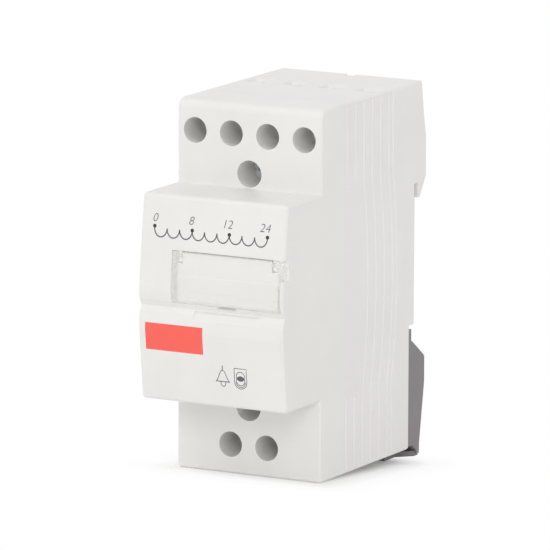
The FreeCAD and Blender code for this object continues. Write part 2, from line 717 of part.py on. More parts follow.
def make_cover_window(body):
    """The recess for the flap, its end channels, the posts for its pins and the finger places."""
    ahead = nose_front - 1.0
    floor = nose_front + window_floor
    deep = nose_front + channel_floor
    pocket(body, "window", "Y", ahead, floor, [rectangle((window_left, window_bottom), (window_right, window_top))])
    ends = [
        rectangle((window_left, window_bottom), (post_left, window_top)),
        rectangle((post_right, window_bottom), (window_right, window_top)),
    ]
    pocket(body, "window_ends", "Y", floor - fit_gap, deep, ends)
    seat_low = flap_axis_z - flap_rod - travel_gap
    pocket(body, "swing_room", "Y", floor - fit_gap, deep,
           [rectangle((post_left - fit_gap, seat_low), (post_right + fit_gap, window_top))])
    posts = [
        rectangle((post_left, post_low), (post_left + post_width, window_top + fit_gap)),
        rectangle((post_right - post_width, post_low), (post_right, window_top + fit_gap)),
    ]
    pad(body, "pin_posts", "Y", flap_axis_y - travel_gap, deep + fit_gap, posts)
    pocket(body, "pin_bearings", "X", post_left, post_right, [],
           [((flap_axis_y, flap_axis_z), flap_rod + thread_gap)])
    ear = rectangle((window_right - fit_gap, window_top - ear_height), (half_width + 1.0, window_top))
    pocket(body, "ear_notch", "Y", ahead, deep, [ear])
    middle = (window_left + window_right) / 2.0
    slot = rectangle((middle - nail_slot_width / 2.0, window_bottom - nail_slot_height),
                     (middle + nail_slot_width / 2.0, window_bottom + fit_gap))
    pocket(body, "nail_slot", "Y", ahead, deep, [slot])
    scoop_low = groove_height - scoop_height
    scoop = [
        (ahead, scoop_low),
        (nose_front + scoop_depth, scoop_low),
        (nose_front + scoop_rear, scoop_low + 0.85 * scoop_height),
        (ahead, scoop_low + 0.85 * scoop_height),
    ]
    pocket(body, "finger_scoop", "X", middle - scoop_width / 2.0, middle + scoop_width / 2.0, [scoop])


def make_front_cover():
    body = new_body("front_cover")
    make_cover_shell(body)
    make_cover_hollow(body)
    make_cover_sleeves(body)
    make_cover_window(body)
    return body


# Rear base


def base_profile():
    """Side view of the base with the seat and the hook for the rail."""
    return [
        (seam, bottom),
        (-clip_recess, bottom),
        (-clip_recess, seat_bottom),
        (0.0, seat_bottom),
        (0.0, seat_top - seat_relief),
        (-seat_relief, seat_top),
        (-seat_relief, rail_half),
        (rail_slot, rail_half),
        (rail_slot, seat_top),
        (rail_slot + hook_tip, seat_top),
        (hook_reach - 0.6, hook_belly - 1.2),
        (hook_reach, hook_belly),
        (hook_reach - 0.1, hook_shoulder),
        (top_overhang + 1.2, hook_shoulder + 4.4),
        (top_overhang, top),
        (seam, top),
    ]


bow_low = nose_bottom - edge_bevel
bow_high = nose_top + edge_bevel
bow_half = (bow_high - bow_low) / 2.0
bow_radius = (bow_half * bow_half + rib_bow * rib_bow) / (2.0 * rib_bow)
rib_low = bottom + rib_end
rib_high = top - rib_end


def rib_place(row):
    return seam + rib_start + rib_pitch * row


def long_rib(row):
    """A rib over the whole height, bowed to the rear beside the nose."""
    rear = rib_place(row) + rib_width / 2.0
    front = rib_place(row) - rib_width / 2.0
    return [
        (front, rib_low), (rear, rib_low), (rear, bow_low), (rear, bow_high, bow_radius), (rear, rib_high),
        (front, rib_high), (front, bow_high), (front, bow_low, -bow_radius),
    ]


def short_rib(row, low, high):
    return rectangle((rib_place(row) - rib_width / 2.0, low), (rib_place(row) + rib_width / 2.0, high))


def rib_field():
    rear = rib_place(short_ribs + long_ribs - 1) + rib_pitch * 0.4
    middle = rib_place(short_ribs) - rib_pitch / 2.0
    return [
        (seam, rib_low), (rear, rib_low), (rear, bow_low), (rear, bow_high, bow_radius), (rear, rib_high),
        (seam, rib_high), (seam, bow_high), (middle, bow_high), (middle, bow_low, -bow_radius), (seam, bow_low),
    ]


def make_side_ribs(body):
    """A field of fine ribs on the right side, mirrored to the left."""
    foot = half_width - rib_height
    field = pocket(body, "rib_field", "X", foot, half_width + 1.0, [rib_field()])
    field.TaperAngle = 45
    outlines = [long_rib(short_ribs + row) for row in range(long_ribs)]
    for row in range(short_ribs):
        outlines.append(short_rib(row, rib_low, bow_low - rib_width))
        outlines.append(short_rib(row, bow_high + rib_width, rib_high))
    ribs = pad(body, "side_ribs", "X", foot - thread_gap, half_width, outlines)
    ribs.TaperAngle = -45
    mirrored = body.newObject("PartDesign::Mirrored", "left_side_ribs")
    mirrored.Originals = [field, ribs]
    mirrored.MirrorPlane = (origin_feature(body, "YZ_Plane"), [""])
    body.Tip = mirrored
    doc.recompute()


def make_base_hollow(body):
    knee = seat_bottom + wall
    front_zone = seam + wall + fit_gap
    upper = rectangle((-inner_side, knee), (inner_side, upper_shelf))
    pocket(body, "upper_chamber", "Y", seam, -wall, [upper])
    lower = rectangle((-inner_side, lower_shelf), (inner_side, knee + fit_gap))
    pocket(body, "lower_chamber", "Y", seam, chamber_floor, [lower])
    ends = [
        rectangle((-inner_side, output_shelf), (inner_side, top - wall)),
        rectangle((-inner_side, bottom + wall), (inner_side, input_shelf)),
    ]
    pocket(body, "screw_head_zones", "Y", seam, front_zone, ends)
    wells = [rectangle((x - pocket_width / 2.0, output_shelf), (x + pocket_width / 2.0, top - wall))
             for x in output_places]
    wells += [rectangle((x - pocket_width / 2.0, bottom + wall), (x + pocket_width / 2.0, input_shelf))
              for x in output_places]
    pocket(body, "terminal_wells", "Y", front_zone - fit_gap, pocket_floor, wells)
    pocket(body, "output_wire_holes", "Z", top - wall - fit_gap, top + 1.0, [],
           [((x, -wire_depth), wire_hole) for x in output_places])
    pocket(body, "input_wire_holes", "Z", bottom - 1.0, bottom + wall + fit_gap, [],
           [((x, -wire_depth), wire_hole) for x in input_places])
    funnels = pocket(body, "output_wire_funnels", "Z", top - wire_funnel, top + 1.0,
                     [square((x, -wire_depth), wire_hole + fit_gap) for x in output_places])
    funnels.TaperAngle = 45
    outer = wire_hole + fit_gap + wire_funnel + 1.0
    funnels = pocket(body, "input_wire_funnels", "Z", bottom - 1.0, bottom + wire_funnel,
                     [square((x, -wire_depth), outer) for x in input_places])
    funnels.TaperAngle = -45
    slot_half = bar_width / 2.0 + fit_gap
    slots = [rectangle((x - slot_half, bar_front - fit_gap), (x + slot_half, bar_back + fit_gap))
             for x in output_places]
    pocket(body, "output_bar_slots", "Z", upper_shelf - fit_gap, output_shelf + fit_gap, slots)
    slots = [rectangle((x - slot_half, bar_front - fit_gap), (x + slot_half, bar_back + fit_gap))
             for x in input_places]
    pocket(body, "input_bar_slots", "Z", input_shelf - fit_gap, lower_shelf + fit_gap, slots)


def make_base_supports(body):
    """Bosses for the fixing screws and ribs that carry the core."""
    boss_end = sleeve_end + travel_gap - fit_gap
    pad(body, "upper_boss", "Y", boss_end, -wall + fit_gap, [square((0.0, upper_fixing), boss_half)])
    pad(body, "lower_boss", "Y", boss_end, chamber_floor + fit_gap, [square((0.0, lower_fixing), boss_half)])
    pocket(body, "pilot_holes", "Y", boss_end - 1.0, fixing_seat + fixing_length + 1.0, [],
           [((0.0, upper_fixing), fixing_radius), ((0.0, lower_fixing), fixing_radius)])
    knee = seat_bottom + wall
    low = core_middle - 2.6 * leg
    high = core_middle + 2.6 * leg
    for name, bottom_end, top_end, rear in (("lower", low, knee + fit_gap, chamber_floor), ("upper", knee, high, -wall)):
        ribs = [rectangle((x - cradle_wall / 2.0, bottom_end), (x + cradle_wall / 2.0, top_end))
                for x in (-core_support, core_support)]
        pad(body, name + "_core_cradle", "Y", core_rear + fit_gap, rear + fit_gap, ribs)


def make_clip_guide(body):
    """The T slot in which the clip slides, with the groove and the peg for its spring."""
    lip_front = -clip_recess - guide_lip
    slot_floor = guide_front - travel_gap
    slot_top = guide_top + travel_gap
    neck = guide_neck / 2.0 + travel_gap
    head = guide_head / 2.0 + travel_gap
    pocket(body, "guide_head_slot", "Y", slot_floor, lip_front,
           [rectangle((-head, bottom - 1.0), (head, slot_top))])
    pocket(body, "guide_neck_slot", "Y", lip_front - fit_gap, -clip_recess + 0.5,
           [rectangle((-neck, bottom - 1.0), (neck, slot_top))])
    groove = spring_half + travel_gap
    low = spring_top - spring_length - 2.0
    pocket(body, "spring_groove", "Y", spring_axis - groove, slot_floor + fit_gap,
           [rectangle((-groove, low), (groove, spring_top + travel_gap))])
    peg_top = spring_top - spring_length
    pad(body, "spring_peg", "Y", spring_axis - groove - fit_gap, spring_axis + 1.0,
        [rectangle((-spring_half + fit_gap, peg_top - 1.6), (spring_half - fit_gap, peg_top))])


def make_hook_groove(body):
    deep = hook_groove_depth
    far = hook_reach + 2.0
    profile = [
        (top_overhang - deep, top + 1.0),
        (top_overhang + 1.2 - deep, hook_shoulder + 4.4),
        (hook_reach - 0.1 - deep, hook_shoulder),
        (hook_reach - deep, hook_belly + 0.8),
        (far, hook_belly + 0.8),
        (far, top + 1.0),
    ]
    pocket(body, "hook_groove", "X", -hook_groove_width / 2.0, hook_groove_width / 2.0, [profile])


def make_rear_base():
    body = new_body("rear_base")
    pad(body, "base_block", "X", -half_width, half_width, [base_profile()])
    soften(body, "base_side_edges", "Chamfer", edge_bevel,
           lambda e, m: in_side_plane(e, half_width) and not near(m.y, seam)
           and (m.z > hook_belly.value or near(m.z, bottom)))
    make_side_ribs(body)
    make_base_hollow(body)
    make_base_supports(body)
    make_clip_guide(body)
    make_hook_groove(body)
    return body


# Rail clip


def clip_profile():
    return [
        (-clip_recess + travel_gap, bottom + 0.4),
        (0.7, bottom + 0.3),
        (clip_foot_back - 0.4 - clip_wall, clip_foot + foot_thickness + 0.2),
        (clip_foot_back - 0.4 - clip_wall, clip_foot + foot_thickness / 2.0),
        (clip_foot_back - 0.4, clip_foot + foot_thickness / 2.0),
        (clip_foot_back - 0.3, clip_foot + foot_thickness + 1.8),
        (clip_back - 0.5, clip_knee - 9.2),
        (clip_back, clip_knee - 6.0),
        (clip_back, clip_knee - 0.5),
        (clip_back - 0.3, clip_knee),
        (0.25, clip_ramp),
        (-travel_gap / 2.0, clip_ramp + 0.1),
        (-travel_gap / 2.0, clip_top),
        (-clip_recess + travel_gap, clip_top),
    ]


def clip_hollow():
    front = -clip_recess + travel_gap + clip_wall
    return [
        (front, clip_foot - 1.0),
        (clip_foot_back - 0.4 - clip_wall, clip_foot - 1.0),
        (clip_foot_back - 0.3 - clip_wall, clip_foot + foot_thickness + 1.8),
        (clip_back - 0.5 - clip_wall, clip_knee - 9.2),
        (clip_back - clip_wall, clip_knee - 6.0),
        (clip_back - clip_wall, clip_knee - 0.9),
        (0.25, clip_ramp - clip_wall - 0.5),
        (front, clip_ramp - clip_wall - 0.5),
    ]


def make_rail_clip():
    body = new_body("rail_clip")
    half = clip_width / 2.0
    pad(body, "clip_block", "X", -half, half, [clip_profile()])
    pocket(body, "clip_inside", "X", -half + clip_wall, half - clip_wall, [clip_hollow()])
    jaw = jaw_width / 2.0
    jaw_side = [
        (rail_slot, clip_ramp - 1.4), (rail_slot + jaw_thickness, clip_ramp - 2.0),
        (rail_slot + jaw_thickness, -rail_half + jaw_rise - 0.5), (rail_slot + 0.3, -rail_half + jaw_rise),
        (rail_slot, -rail_half + jaw_rise),
    ]
    pad(body, "clip_jaw", "X", -jaw, jaw, [jaw_side])
    wide = half - 0.5
    foot = [
        (-wide + foot_corner, -foot_reach), (wide - foot_corner, -foot_reach),
        (wide - foot_corner, clip_foot_back - 1.8 - foot_corner), (wide, clip_foot_back - 1.8),
        (wide, clip_foot_back), (-wide, clip_foot_back),
        (-wide, clip_foot_back - 1.8), (-wide + foot_corner, clip_foot_back - 1.8 - foot_corner),
    ]
    pad(body, "clip_foot", "Z", clip_foot, clip_foot + foot_thickness, [foot])
    slot_rear = 0.4 + foot_slot_depth / 2.0
    pocket(body, "clip_foot_slot", "Z", clip_foot - 1.0, clip_foot + foot_thickness + 0.5,
           [rectangle((-foot_slot_width / 2.0, slot_rear - foot_slot_depth), (foot_slot_width / 2.0, slot_rear))])
    lip_front = -clip_recess - guide_lip - travel_gap
    low = bottom + 0.7
    pad(body, "guide_neck", "Y", lip_front - fit_gap, -clip_recess + travel_gap + fit_gap,
        [rectangle((-guide_neck / 2.0, low), (guide_neck / 2.0, guide_top))])
    pad(body, "guide_head", "Y", guide_front, lip_front, [rectangle((-guide_head / 2.0, low), (guide_head / 2.0, guide_top))])
    groove = spring_half + travel_gap
    pocket(body, "spring_window", "Y", guide_front - 1.0, spring_axis + groove,
           [rectangle((-groove, spring_top - spring_length - 2.0), (groove, spring_top))])
    return body


# Label flap


def face_at(height):
    """Front face of the nose at a height above its crest."""
    slope = nose_top_setback / (nose_top - crest)
    return nose_front + slope * (height - crest) - 0.07


def flap_profile():
    """Side view of the panel. Its top is rounded about the axis of its pins."""
    inner = nose_front + flap_inner
    low = window_bottom + travel_gap
    sweep = window_top - flap_top_gap - flap_axis_z
    corner = flap_axis_z + 0.68 * sweep
    return [
        (nose_front + upper_lip_setback, low, upper_lip_radius),
        (inner, low),
        (inner, flap_axis_z + 0.95 * sweep),
        (face_at(corner) + 0.05, corner),
        (face_at(flap_step) + flap_step_depth, flap_step),
        (face_at(flap_step), flap_step),
        (nose_front, crest),
    ]


def cheek_profile():
    front = nose_front + flap_inner - fit_gap
    rear = nose_front + channel_floor - travel_gap
    low = window_bottom + travel_gap
    return [
        (front, low), (rear - 0.5, low), (rear, low + 1.05), (rear, flap_axis_z - flap_rod),
        (flap_axis_y + flap_rod * 0.8, flap_axis_z), (front, flap_axis_z),
    ]


def make_label_flap():
    body = new_body("label_flap")
    pad(body, "flap_panel", "X", flap_left, flap_right, [flap_profile()])
    notch_low = post_low - travel_gap
    notches = [
        rectangle((flap_left + cheek_thickness, notch_low), (post_left + post_width + travel_gap, window_top + 1.0)),
        rectangle((post_right - post_width - travel_gap, notch_low), (flap_right - cheek_thickness, window_top + 1.0)),
    ]
    pocket(body, "post_notches", "Y", nose_front - 1.0, nose_front + channel_floor, notches)
    axis = (flap_axis_y, flap_axis_z)
    for name, start in (("left", flap_left), ("right", flap_right - cheek_thickness)):
        pad(body, name + "_cheek", "X", start, start + cheek_thickness, [cheek_profile()])
        pad(body, name + "_pin_boss", "X", start, start + cheek_thickness, [], [(axis, flap_rod + travel_gap)])
    pad(body, "left_pin", "X", flap_left + fit_gap, post_left + post_width, [], [(axis, flap_rod)])
    pad(body, "right_pin", "X", post_right - post_width, flap_right - fit_gap, [], [(axis, flap_rod)])
    ear_low = window_top - ear_height + 2.0 * travel_gap
    rear = nose_front + channel_floor - travel_gap
    ear = [
        (face_at(ear_low) + 0.7, ear_low), (rear - 0.5, ear_low), (rear, ear_low + 0.6),
        (rear, flap_axis_z - 0.3), (rear - 0.4, flap_axis_z + 0.5), (flap_axis_y - 0.3, flap_axis_z + 0.7),
        (flap_axis_y - 0.65, flap_axis_z + 0.2), (face_at(ear_low) + 0.3, ear_low + 0.5),
    ]
    pad(body, "flap_ear", "X", flap_right - fit_gap, half_width - travel_gap, [ear])
    return body


def make_label_card():
    """Card behind the panel, held between the cheeks, with its upper corners cut away at the pins."""
    body = new_body("label_card")
    front = nose_front + flap_inner + thread_gap
    left = flap_left + cheek_thickness + thread_gap
    right = flap_right - cheek_thickness - thread_gap
    left_corner = post_left + post_width + travel_gap
    right_corner = post_right - post_width - travel_gap
    low = window_bottom + 2.0 * travel_gap
    shoulder_z = post_low - travel_gap
    high = window_top - 2.0 * travel_gap
    card = [
        (left, low), (right, low), (right, shoulder_z), (right_corner, shoulder_z),
        (right_corner, high), (left_corner, high), (left_corner, shoulder_z), (left, shoulder_z),
    ]
    pad(body, "card_sheet", "Y", front, front + card_thickness, [card])
    return body


# Solids made from plain shapes

TURNS = {"X": Rotation(Vector(0, 1, 0), 90), "Y": Rotation(Vector(1, 0, 0), -90), "Z": Rotation()}


def place_at(item, corner):
    for letter, value in zip("xyz", corner):
        item.setExpression("Placement.Base." + letter, as_size(value).formula)


def block(name, low, high):
    item = doc.addObject("Part::Box", name)
    place_at(item, low)
    for side, start, end in zip(("Length", "Width", "Height"), low, high):
        item.setExpression(side, (as_size(end) - start).formula)
    return item


def rod(name, radius, start, length, axis="Y"):
    item = doc.addObject("Part::Cylinder", name)
    item.Placement = Placement(Vector(), TURNS[axis])
    place_at(item, start)
    item.setExpression("Radius", as_size(radius).formula)
    item.setExpression("Height", as_size(length).formula)
    return item


def join(name, items):
    item = doc.addObject("Part::MultiFuse", name)
    item.Shapes = items
    item.Refine = True
    return item


def cut(name, base, tools):
    item = doc.addObject("Part::Cut", name)
    item.Base = base
    item.Tool = tools[0] if len(tools) == 1 else join(name + "_tools", tools)
    return item


def named(item, label):
    item.Label = label
    return item


# Terminals


def make_cage(label, x, height):
    """Box-shaped cage, open at its ends, with a threaded plate at the front."""
    half = cage_width / 2.0
    outer = block(label + "_outer", (x - half, cage_front, height - half), (x + half, cage_rear, height + half))
    inner = half - cage_wall
    hollow = block(label + "_hollow", (x - inner, cage_front + cage_nut, height - half - 1.0),
                   (x + inner, cage_rear_inside, height + half + 1.0))
    thread = rod(label + "_thread", screw_radius + thread_gap, (x, cage_front - 1.0, height), cage_nut + 2.0)
    return named(cut(label, outer, [hollow, thread]), label)


def make_terminal_screw(label, x, height):
    head = rod(label + "_head", head_radius, (x, head_front, height), head_height)
    shank = rod(label + "_shank", screw_radius, (x, head_rear - fit_gap, height), screw_tip - head_rear + fit_gap)
    slot = block(label + "_slot", (x - head_radius - 1.0, head_front - 1.0, height - 0.4),
                 (x + head_radius + 1.0, head_front + 1.0, height + 0.4))
    whole = join(label + "_solid", [head, shank])
    return named(cut(label, whole, [slot]), label)


def make_contact(label, x, height, shelf, side):
    """Bar through the cage and its shelf, with a lug for the lead. Side is +1 at the top."""
    half = bar_width / 2.0
    far = height + side * (cage_width / 2.0 + fit_gap)
    near_end = shelf - side * (shelf_thickness + 2.2)
    low, high = (near_end, far) if side > 0 else (far, near_end)
    bar = block(label + "_bar", (x - half, bar_front, low), (x + half, bar_back, high))
    tip = shelf - side * (shelf_thickness + 3.0)
    low, high = (tip, near_end + 0.2) if side > 0 else (near_end - 0.2, tip)
    lug = block(label + "_lug", (x - 0.35 * bar_width, bar_front - 4.5, low), (x + 0.35 * bar_width, bar_back, high))
    return named(join(label, [bar, lug]), label)


def make_fixing_screw(label, height):
    head = rod(label + "_head", fixing_head_radius, (0.0, fixing_seat - fixing_head_height, height), fixing_head_height)
    shank = rod(label + "_shank", fixing_radius, (0.0, fixing_seat - fit_gap, height), fixing_length)
    front = fixing_seat - fixing_head_height
    cross = [
        block(label + "_cross_a", (-1.5, front - 1.0, height - 0.35), (1.5, front + 1.1, height + 0.35)),
        block(label + "_cross_b", (-0.35, front - 1.0, height - 1.5), (0.35, front + 1.1, height + 1.5)),
    ]
    return named(cut(label, join(label + "_solid", [head, shank]), cross), label)


# Transformer

core_low = core_middle - 3.0 * leg
core_high = core_middle + 3.0 * leg
leg_front = core_front + leg
yoke_front = core_rear - leg
bobbin_front = leg_front + bobbin_gap
bobbin_rear = yoke_front - bobbin_gap
tube_x = stack / 2.0 + bobbin_gap
tube_z = leg + bobbin_gap
flange_x = tube_x + bobbin_wall + coil_depth + 1.0
flange_z = 2.0 * leg - bobbin_gap
flange_thickness = bobbin_wall + 0.2
primary_front = bobbin_front + flange_thickness
primary_rear = primary_front + primary_share
secondary_front = primary_rear + flange_thickness
secondary_rear = bobbin_rear - flange_thickness
coil_x = tube_x + bobbin_wall + coil_depth
coil_z = flange_z - 0.7


def e_profile():
    inner_low = core_middle - leg
    inner_high = core_middle + leg
    return [
        (leg_front, core_low), (core_rear, core_low), (core_rear, core_high), (leg_front, core_high),
        (leg_front, core_high - leg), (yoke_front, core_high - leg), (yoke_front, inner_high),
        (leg_front, inner_high), (leg_front, inner_low), (yoke_front, inner_low),
        (yoke_front, core_low + leg), (leg_front, core_low + leg),
    ]


def make_stack(label, profile, low, high):
    """A stack of plates, with lines round it between groups of plates."""
    body = new_body(label)
    pad(body, label + "_plates", "X", -stack / 2.0, stack / 2.0, [profile])
    first = -stack / 2.0 + stack / plate_groups
    inset = [
        rectangle((low[0] - 1.0, low[1] - 1.0), (high[0] + 1.0, high[1] + 1.0)),
        rectangle((low[0] + plate_groove, low[1] + plate_groove), (high[0] - plate_groove, high[1] - plate_groove)),
    ]
    line = pocket(body, label + "_line", "X", first - 0.08, first + 0.08, inset)
    pattern = body.newObject("PartDesign::LinearPattern", label + "_lines")
    pattern.Originals = [line]
    pattern.Direction = (origin_feature(body, "X_Axis"), [""])
    pattern.setExpression("Length", (stack * (plate_groups - 2) / plate_groups).formula)
    pattern.Occurrences = plate_groups - 1
    body.Tip = pattern
    doc.recompute()
    return body


def around(name, x_half, z_half, start, end):
    """A block round the middle of the core, from start to end."""
    return block(name, (-x_half, start, core_middle - z_half), (x_half, end, core_middle + z_half))


def make_bobbin():
    tube = around("bobbin_tube", tube_x + bobbin_wall, tube_z + bobbin_wall, bobbin_front, bobbin_rear)
    flanges = [
        around("bobbin_front_flange", flange_x, flange_z, bobbin_front, primary_front),
        around("bobbin_middle_flange", flange_x, flange_z, primary_rear, secondary_front),
        around("bobbin_rear_flange", flange_x, flange_z, secondary_rear, bobbin_rear),
    ]
    hollow = around("bobbin_hollow", tube_x, tube_z, bobbin_front - 1.0, bobbin_rear + 1.0)
    return named(cut("bobbin", join("bobbin_solid", [tube] + flanges), [hollow]), "bobbin")


def bevelled(x_half, z_half, bevel):
    """An oblong round the middle of the core with its corners cut off."""
    low, high = core_middle - z_half, core_middle + z_half
    return [
        (-x_half + bevel, low), (x_half - bevel, low), (x_half, low + bevel), (x_half, high - bevel),
        (x_half - bevel, high), (-x_half + bevel, high), (-x_half, high - bevel), (-x_half, low + bevel),
    ]


def make_coil(label, x_inner, z_inner, x_outer, z_outer, start, end, bevels):
    """A ring round the bobbin. Bevels are those of its outer and its inner corners."""
    body = new_body(label)
    pad(body, label + "_outside", "Y", start, end, [bevelled(x_outer, z_outer, bevels[0])])
    inside = bevelled(x_inner, z_inner, bevels[1])
    if bevels[1] == 0.0:
        inside = rectangle((-x_inner, core_middle - z_inner), (x_inner, core_middle + z_inner))
    pocket(body, label + "_inside", "Y", start - 1.0, end + 1.0, [inside])
    return body


def make_coils():
    made = []
    for name, start, end in (("primary", primary_front, primary_rear), ("secondary", secondary_front, secondary_rear)):
        made.append(make_coil(name + "_winding", tube_x + bobbin_wall, tube_z + bobbin_wall, coil_x, coil_z,
                              start, end, (1.5, 0.0)))
        made.append(make_coil(name + "_tape", coil_x, coil_z, coil_x + tape_thickness, coil_z + tape_thickness,
                              start + 0.5, end - 0.5, (1.65, 1.5)))
    return made


def make_strap():
    body = new_body("core_strap")
    t = strap_thickness
    front, rear, low, high = core_front, core_rear, core_low, core_high
    hem = 2.5
    profile = [
        (front - t, low - t), (rear + t, low - t), (rear + t, high + t), (front - t, high + t),
        (front - t, high - hem), (front, high - hem), (front, high), (rear, high),
        (rear, low), (front, low), (front, low + hem), (front - t, low + hem),
    ]
    pad(body, "strap_band", "X", -strap_width / 2.0, strap_width / 2.0, [profile])
    return body


# Leads


def make_lead(label, points):
    """A lead of straight eight-sided runs that overlap at its elbows, each run along one axis."""
    pieces = []
    last = len(points) - 2
    for number, (start, end) in enumerate(zip(points, points[1:])):
        gaps = [as_size(b) - a for a, b in zip(start, end)]
        axis = max(range(3), key=lambda i: abs(gaps[i].value))
        overlaps = [0.0 if number == 0 else lead_radius, 0.0 if number == last else lead_radius]
        low, length = start, gaps[axis]
        if gaps[axis].value < 0:
            low, length = end, -gaps[axis]
            overlaps.reverse()
        run = doc.addObject("Part::Prism", "%s_run_%d" % (label, number))
        run.Polygon = 8
        run.Placement = Placement(Vector(), TURNS["XYZ"[axis]].multiply(Rotation(Vector(0, 0, 1), 22.5)))
        place_at(run, [as_size(v) - overlaps[0] if i == axis else v for i, v in enumerate(low)])
        run.setExpression("Circumradius", lead_radius.formula)
        run.setExpression("Height", (length + overlaps[0] + overlaps[1]).formula)
        pieces.append(run)
    return named(join(label, pieces), label)


upper_lug = upper_shelf - 2.0 + lead_radius
lower_lug = lower_shelf + 3.0 + lead_radius
coil_top = core_middle + coil_z + tape_thickness
coil_bottom = core_middle - coil_z - tape_thickness
lead_end = bar_front - 0.6
disc_x = -flange_x + 3.1
disc_z = core_low - disc_radius
disc_front = yoke_front - 0.4


def make_leads():
    made = []
    behind = (secondary_front + secondary_rear) / 2.0
    for number, x in enumerate(output_places, 1):
        sign = 1.0 if x.value > 0 else -1.0
        outer = abs(x.value) > terminal_pitch.value
        rise = sign * (coil_x - (1.0 if outer else 3.2))
        run = behind + (1.2 if outer else -1.2)
        points = [(rise, run, coil_top), (rise, run, upper_lug), (x, run, upper_lug), (x, lead_end, upper_lug)]
        made.append(make_lead("output_lead_%d" % number, points))
    ahead = primary_rear - 2.0
    level = core_low - 3.0
    x = input_places[1]
    right = coil_x - 3.2
    points = [(right, ahead, coil_bottom), (right, ahead, level), (right, behind, level), (right, behind, lower_lug),
              (x, behind, lower_lug), (x, lead_end, lower_lug)]
    made.append(make_lead("input_lead_right", points))
    points = [(disc_x, ahead, coil_bottom), (disc_x, ahead, disc_z), (disc_x, disc_front, disc_z)]
    made.append(make_lead("input_lead_left", points))
    x = input_places[0]
    tail = disc_front + disc_thickness + 3.0
    points = [(disc_x, disc_front + disc_thickness, disc_z), (disc_x, tail, disc_z), (disc_x, tail, lower_lug),
              (x, tail, lower_lug), (x, lead_end, lower_lug)]
    made.append(make_lead("disc_lead", points))
    return made


# Spring of the clip


def spring_bend(number, going_up):
    """One bend of the strip, as its two quarter turns. Even bends lie on the right."""
    low = spring_top - spring_length
    pitch = (spring_length - spring_strip) / spring_bends
    side = 1.0 if number % 2 == 0 else -1.0
    outside = (side > 0.0) == going_up
    radius = (pitch + spring_strip) / 2.0 if outside else (pitch - spring_strip) / 2.0
    turn = radius if outside else -radius
    x = side * (spring_half - (pitch + spring_strip) / 2.0)
    z = low + spring_strip / 2.0 + pitch * (number + 0.5)
    first, last = (z - radius, z + radius) if going_up else (z + radius, z - radius)
    return [(x, first), (x + radius * side, z, turn), (x, last, turn)]


def make_clip_spring():
    """A flat strip bent to and fro. The outline runs up one face of the strip and down the other."""
    low = spring_top - spring_length
    profile = [(-spring_half, low + spring_strip), (-spring_half, low)]
    for number in range(spring_bends):
        profile += spring_bend(number, True)
    profile += [(-spring_half, spring_top), (-spring_half, spring_top - spring_strip)]
    for number in reversed(range(spring_bends)):
        profile += spring_bend(number, False)
    body = new_body("clip_spring")
    pad(body, "bent_strip", "Y", spring_axis - spring_depth / 2.0, spring_axis + spring_depth / 2.0, [profile])
    return body


# The whole transformer

pieces = [make_front_cover(), make_rear_base(), make_rail_clip(), make_label_flap(), make_clip_spring()]
pieces.append(make_label_card())
for number, x in enumerate(output_places, 1):
    pieces.append(make_cage("output_cage_%d" % number, x, output_height))
    pieces.append(make_terminal_screw("output_screw_%d" % number, x, output_height))
    pieces.append(make_contact("output_contact_%d" % number, x, output_height, output_shelf, 1.0))
for number, x in enumerate(input_places, 1):
    pieces.append(make_cage("input_cage_%d" % number, x, input_height))
    pieces.append(make_terminal_screw("input_screw_%d" % number, x, input_height))
    pieces.append(make_contact("input_contact_%d" % number, x, input_height, input_shelf, -1.0))
pieces.append(make_fixing_screw("fixing_screw_upper", upper_fixing))
pieces.append(make_fixing_screw("fixing_screw_lower", lower_fixing))
i_profile = rectangle((core_front, core_low), (leg_front, core_high))
pieces.append(make_stack("core_e_stack", e_profile(), (leg_front - 1.0, core_low), (core_rear, core_high)))
pieces.append(make_stack("core_i_stack", i_profile, (core_front, core_low), (leg_front + 1.0, core_high)))
pieces.append(make_bobbin())
pieces.extend(make_coils())
pieces.append(make_strap())
pieces.append(named(rod("overload_disc", disc_radius, (disc_x, disc_front, disc_z), disc_thickness), "overload_disc"))
pieces.extend(make_leads())
doc.recompute()

# Checks and files

for item in doc.Objects:
    if "Invalid" in item.State or "Error" in item.State:
        raise RuntimeError("failed: " + item.Label)
os.makedirs("parts", exist_ok=True)
for piece in pieces:
    shape = piece.Shape
    if shape.isNull() or not shape.isValid() or len(shape.Solids) != 1:
        raise RuntimeError("%s: valid %s, solids %d" % (piece.Label, shape.isValid(), len(shape.Solids)))
    shape.exportStep(os.path.join("parts", piece.Label + ".step"))
print("%d pieces" % len(pieces))
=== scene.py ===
# %% [markdown]
# # A doorbell transformer for a mounting rail
# A small white box steps mains voltage down for a doorbell. It clips on a metal rail in a
# distribution board, so its front is stepped: terminals above and below, a nose between them.
# Its solids come from the CAD frame, already in place, in metres. This lesson only dresses
# them: it gives each piece its material, prints the marks on the nose and lights the picture.

# %% Load the frame
import math
import bpy
from mathutils import Matrix, Vector


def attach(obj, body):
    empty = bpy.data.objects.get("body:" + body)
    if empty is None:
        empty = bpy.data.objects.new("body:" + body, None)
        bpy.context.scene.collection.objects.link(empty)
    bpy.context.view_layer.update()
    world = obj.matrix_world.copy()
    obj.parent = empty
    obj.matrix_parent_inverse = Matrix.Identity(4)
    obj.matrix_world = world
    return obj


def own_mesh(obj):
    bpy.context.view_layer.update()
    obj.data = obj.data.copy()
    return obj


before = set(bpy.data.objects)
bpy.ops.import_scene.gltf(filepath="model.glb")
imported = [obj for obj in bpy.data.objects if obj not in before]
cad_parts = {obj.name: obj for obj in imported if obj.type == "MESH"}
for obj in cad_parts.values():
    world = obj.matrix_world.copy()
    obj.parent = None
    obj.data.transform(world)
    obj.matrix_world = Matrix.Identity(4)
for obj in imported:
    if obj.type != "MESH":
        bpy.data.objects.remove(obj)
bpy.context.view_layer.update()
MM = 0.001
